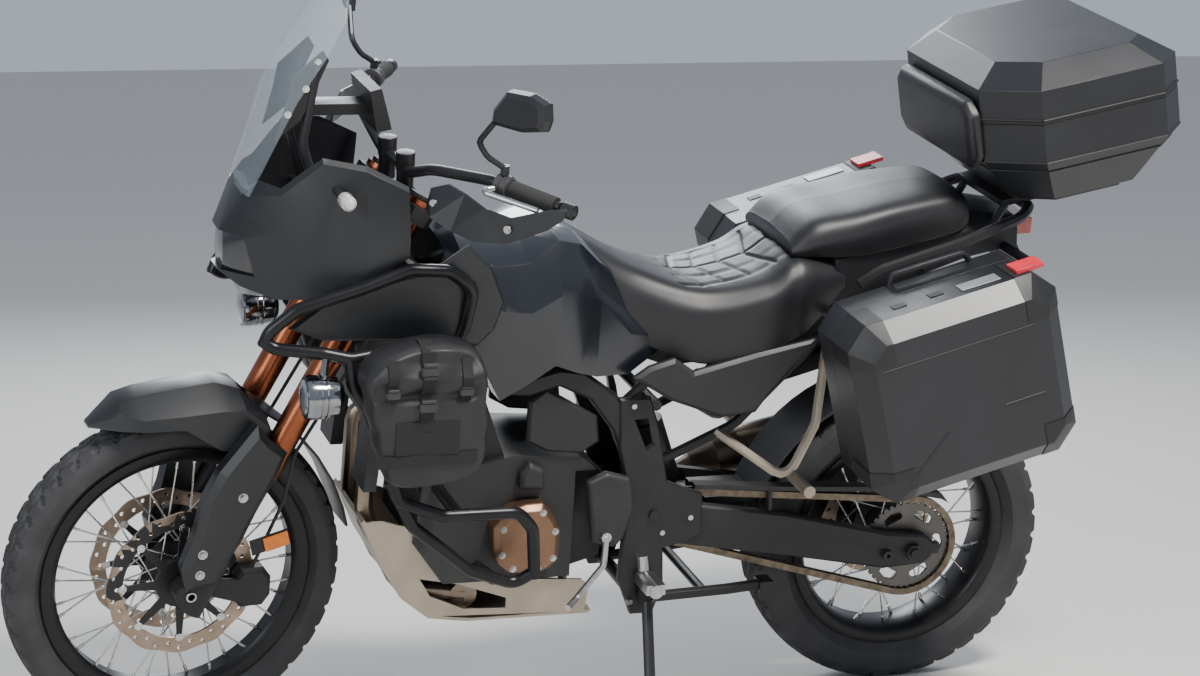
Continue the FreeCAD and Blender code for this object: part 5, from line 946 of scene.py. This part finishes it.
def round_box(height, margin):
    """The top box's outline at one height, as a closed route."""
    cut = BOX_CUT - margin * 0.4
    rear_cut = cut * 0.6
    x0, x1, y = BOX_REAR + margin, BOX_FRONT - margin, BOX_HALF - margin
    return [Vector(p) for p in ((x1, -y + cut, height), (x1, y - cut, height), (x1 - cut, y, height),
                                (x0 + rear_cut, y, height), (x0, y - rear_cut, height),
                                (x0, -y + rear_cut, height), (x0 + rear_cut, -y, height),
                                (x1 - cut, -y, height))]


def lines_round(height, margin, radius, left_out=None):
    """A ridge along each side of the top box, apart from the one left out."""
    corners = round_box(height, margin)
    sides = list(zip(corners, corners[1:] + corners[:1]))
    return [ridge(*ends, radius) for i, ends in enumerate(sides) if i != left_out]


made(joined(lines_round(0.118, 0.0, 0.0022) + lines_round(0.094, 0.0155, 0.0018)), "topbox_ridges", box_place,
     "motorcycle", CASE)
made(joined(lines_round(RIM_HEIGHT, RIM_MARGIN, RIM_THICK, REAR_SIDE)), "topbox_lid_rim", box_place,
     body_of["topbox_lid"], CAP)
for side, name in SIDES:
    latch_place = (Matrix.Translation((BOX_FRONT - LATCH_IN, side * (BOX_HALF - LATCH_IN), LATCH_HEIGHT))
                   @ Matrix.Rotation(math.radians(45 * side), 4, "Z")
                   @ Matrix.Rotation(math.radians(-24), 4, "Y"))
    made(block(latch_place, (0.006, 0.060, 0.052)), f"topbox_latch_{name}", box_place, body_of["topbox_lid"],
         CAP, edge=0.0015)
    made(joined([block(latch_place @ Matrix.Translation((0.004, 0, up)), (0.006, 0.040, 0.008))
                 for up in (0.012, -0.010)]),
         f"topbox_latch_bars_{name}", box_place, body_of["topbox_lid"], STEEL, edge=0.001)
backrest = dressed("backrest_pad", VINYL, 0.008, 60)

# Luggage racks, tail lamp and plate holder: the racks, bent and welded from steel tube, carry the three
# cases. The lamp has a red lens, and the holder below it is plain moulded plastic.
dressed("luggage_racks", COATED, 0.001)
RED_LENS = finish("red_lens", (0.45, 0.02, 0.015), 0.15, grain=260, relief=0.5, shade=0.2, patch=60, coat=1.0)
dressed("tail_light", RED_LENS, 0.002)
dressed("plate_holder", GRAINED, 0.002)

# Rear wheel: an 18 inch spoked wheel with a wide tyre, made as the front one is. It carries one petal
# disc on its right and the toothed sprocket on its left.
REAR_SEAT, REAR_RIM_WIDTH, REAR_BAND_INNER = 0.233, 0.112, 0.085
made(tyre(REAR_RADIUS - TREAD_INSET, height=0.100, width=0.148, lip=0.056, blocks=38, depth=0.0065,
          slant=0.5), "rear_tyre_rubber", rear_wheel, "rear_wheel", RUBBER, ("rear_tyre",), 30)
made(rim(REAR_SEAT, REAR_RIM_WIDTH), "rear_rim", rear_wheel, "rear_wheel", RIM_BLACK,
     ("rear_wire_wheel",), 40)
made(wires(REAR_SEAT, REAR_RIM_WIDTH, hub_reach=0.060, hub_side=0.0535, nipple=0.0036), "rear_spokes",
     rear_wheel, "rear_wheel", SPOKE_STEEL)
made(hub(radius=0.042, width=0.139), "rear_hub", rear_wheel, "rear_wheel", COATED, (), 35)
dressed("rear_disc", WORN_DISC, 0.0004, 30, COATED, off_band(rear_axle, REAR_BAND_INNER))
SPROCKET_STEEL = finish("sprocket_steel", (0.12, 0.115, 0.11), 0.42, metal=1.0, grain=1200, relief=0.1,
                        patch=20)
dressed("rear_sprocket", SPROCKET_STEEL, 0.0004, 30)

# Swingarm and drive: a welded box-section arm in black coat, with the cast brake caliper inside it, the
# oiled roller chain, plastic guards, and one spring strut ahead of the wheel.
dressed("swingarm", COATED, 0.003)
dressed("rear_caliper", CALIPER_BLACK, 0.003)
CHAIN_STEEL = finish("oiled_chain", (0.16, 0.13, 0.10), 0.42, metal=1.0, grain=800, relief=0.4, shade=0.4,
                     patch=60)
dressed("chain", CHAIN_STEEL, 0.0)
dressed("rear_guards", GRAINED, 0.001)
SPRING = finish("spring_paint", (0.02, 0.02, 0.02), 0.35, metal=0.2, grain=900, relief=0.1, patch=20)
dressed("shock", SPRING, 0.001)

# Pegs, levers and stands: forged steel pegs and pedals bolted to the frame plates. The side stand and
# the centre stand are welded steel legs in black coat that fold up on pins.
dressed("foot_pegs", STEEL, 0.001)
dressed("pillion_pegs", SUMP_ALLOY, 0.001)
dressed("side_stand", COATED, 0.002)
dressed("centre_stand", COATED, 0.002)
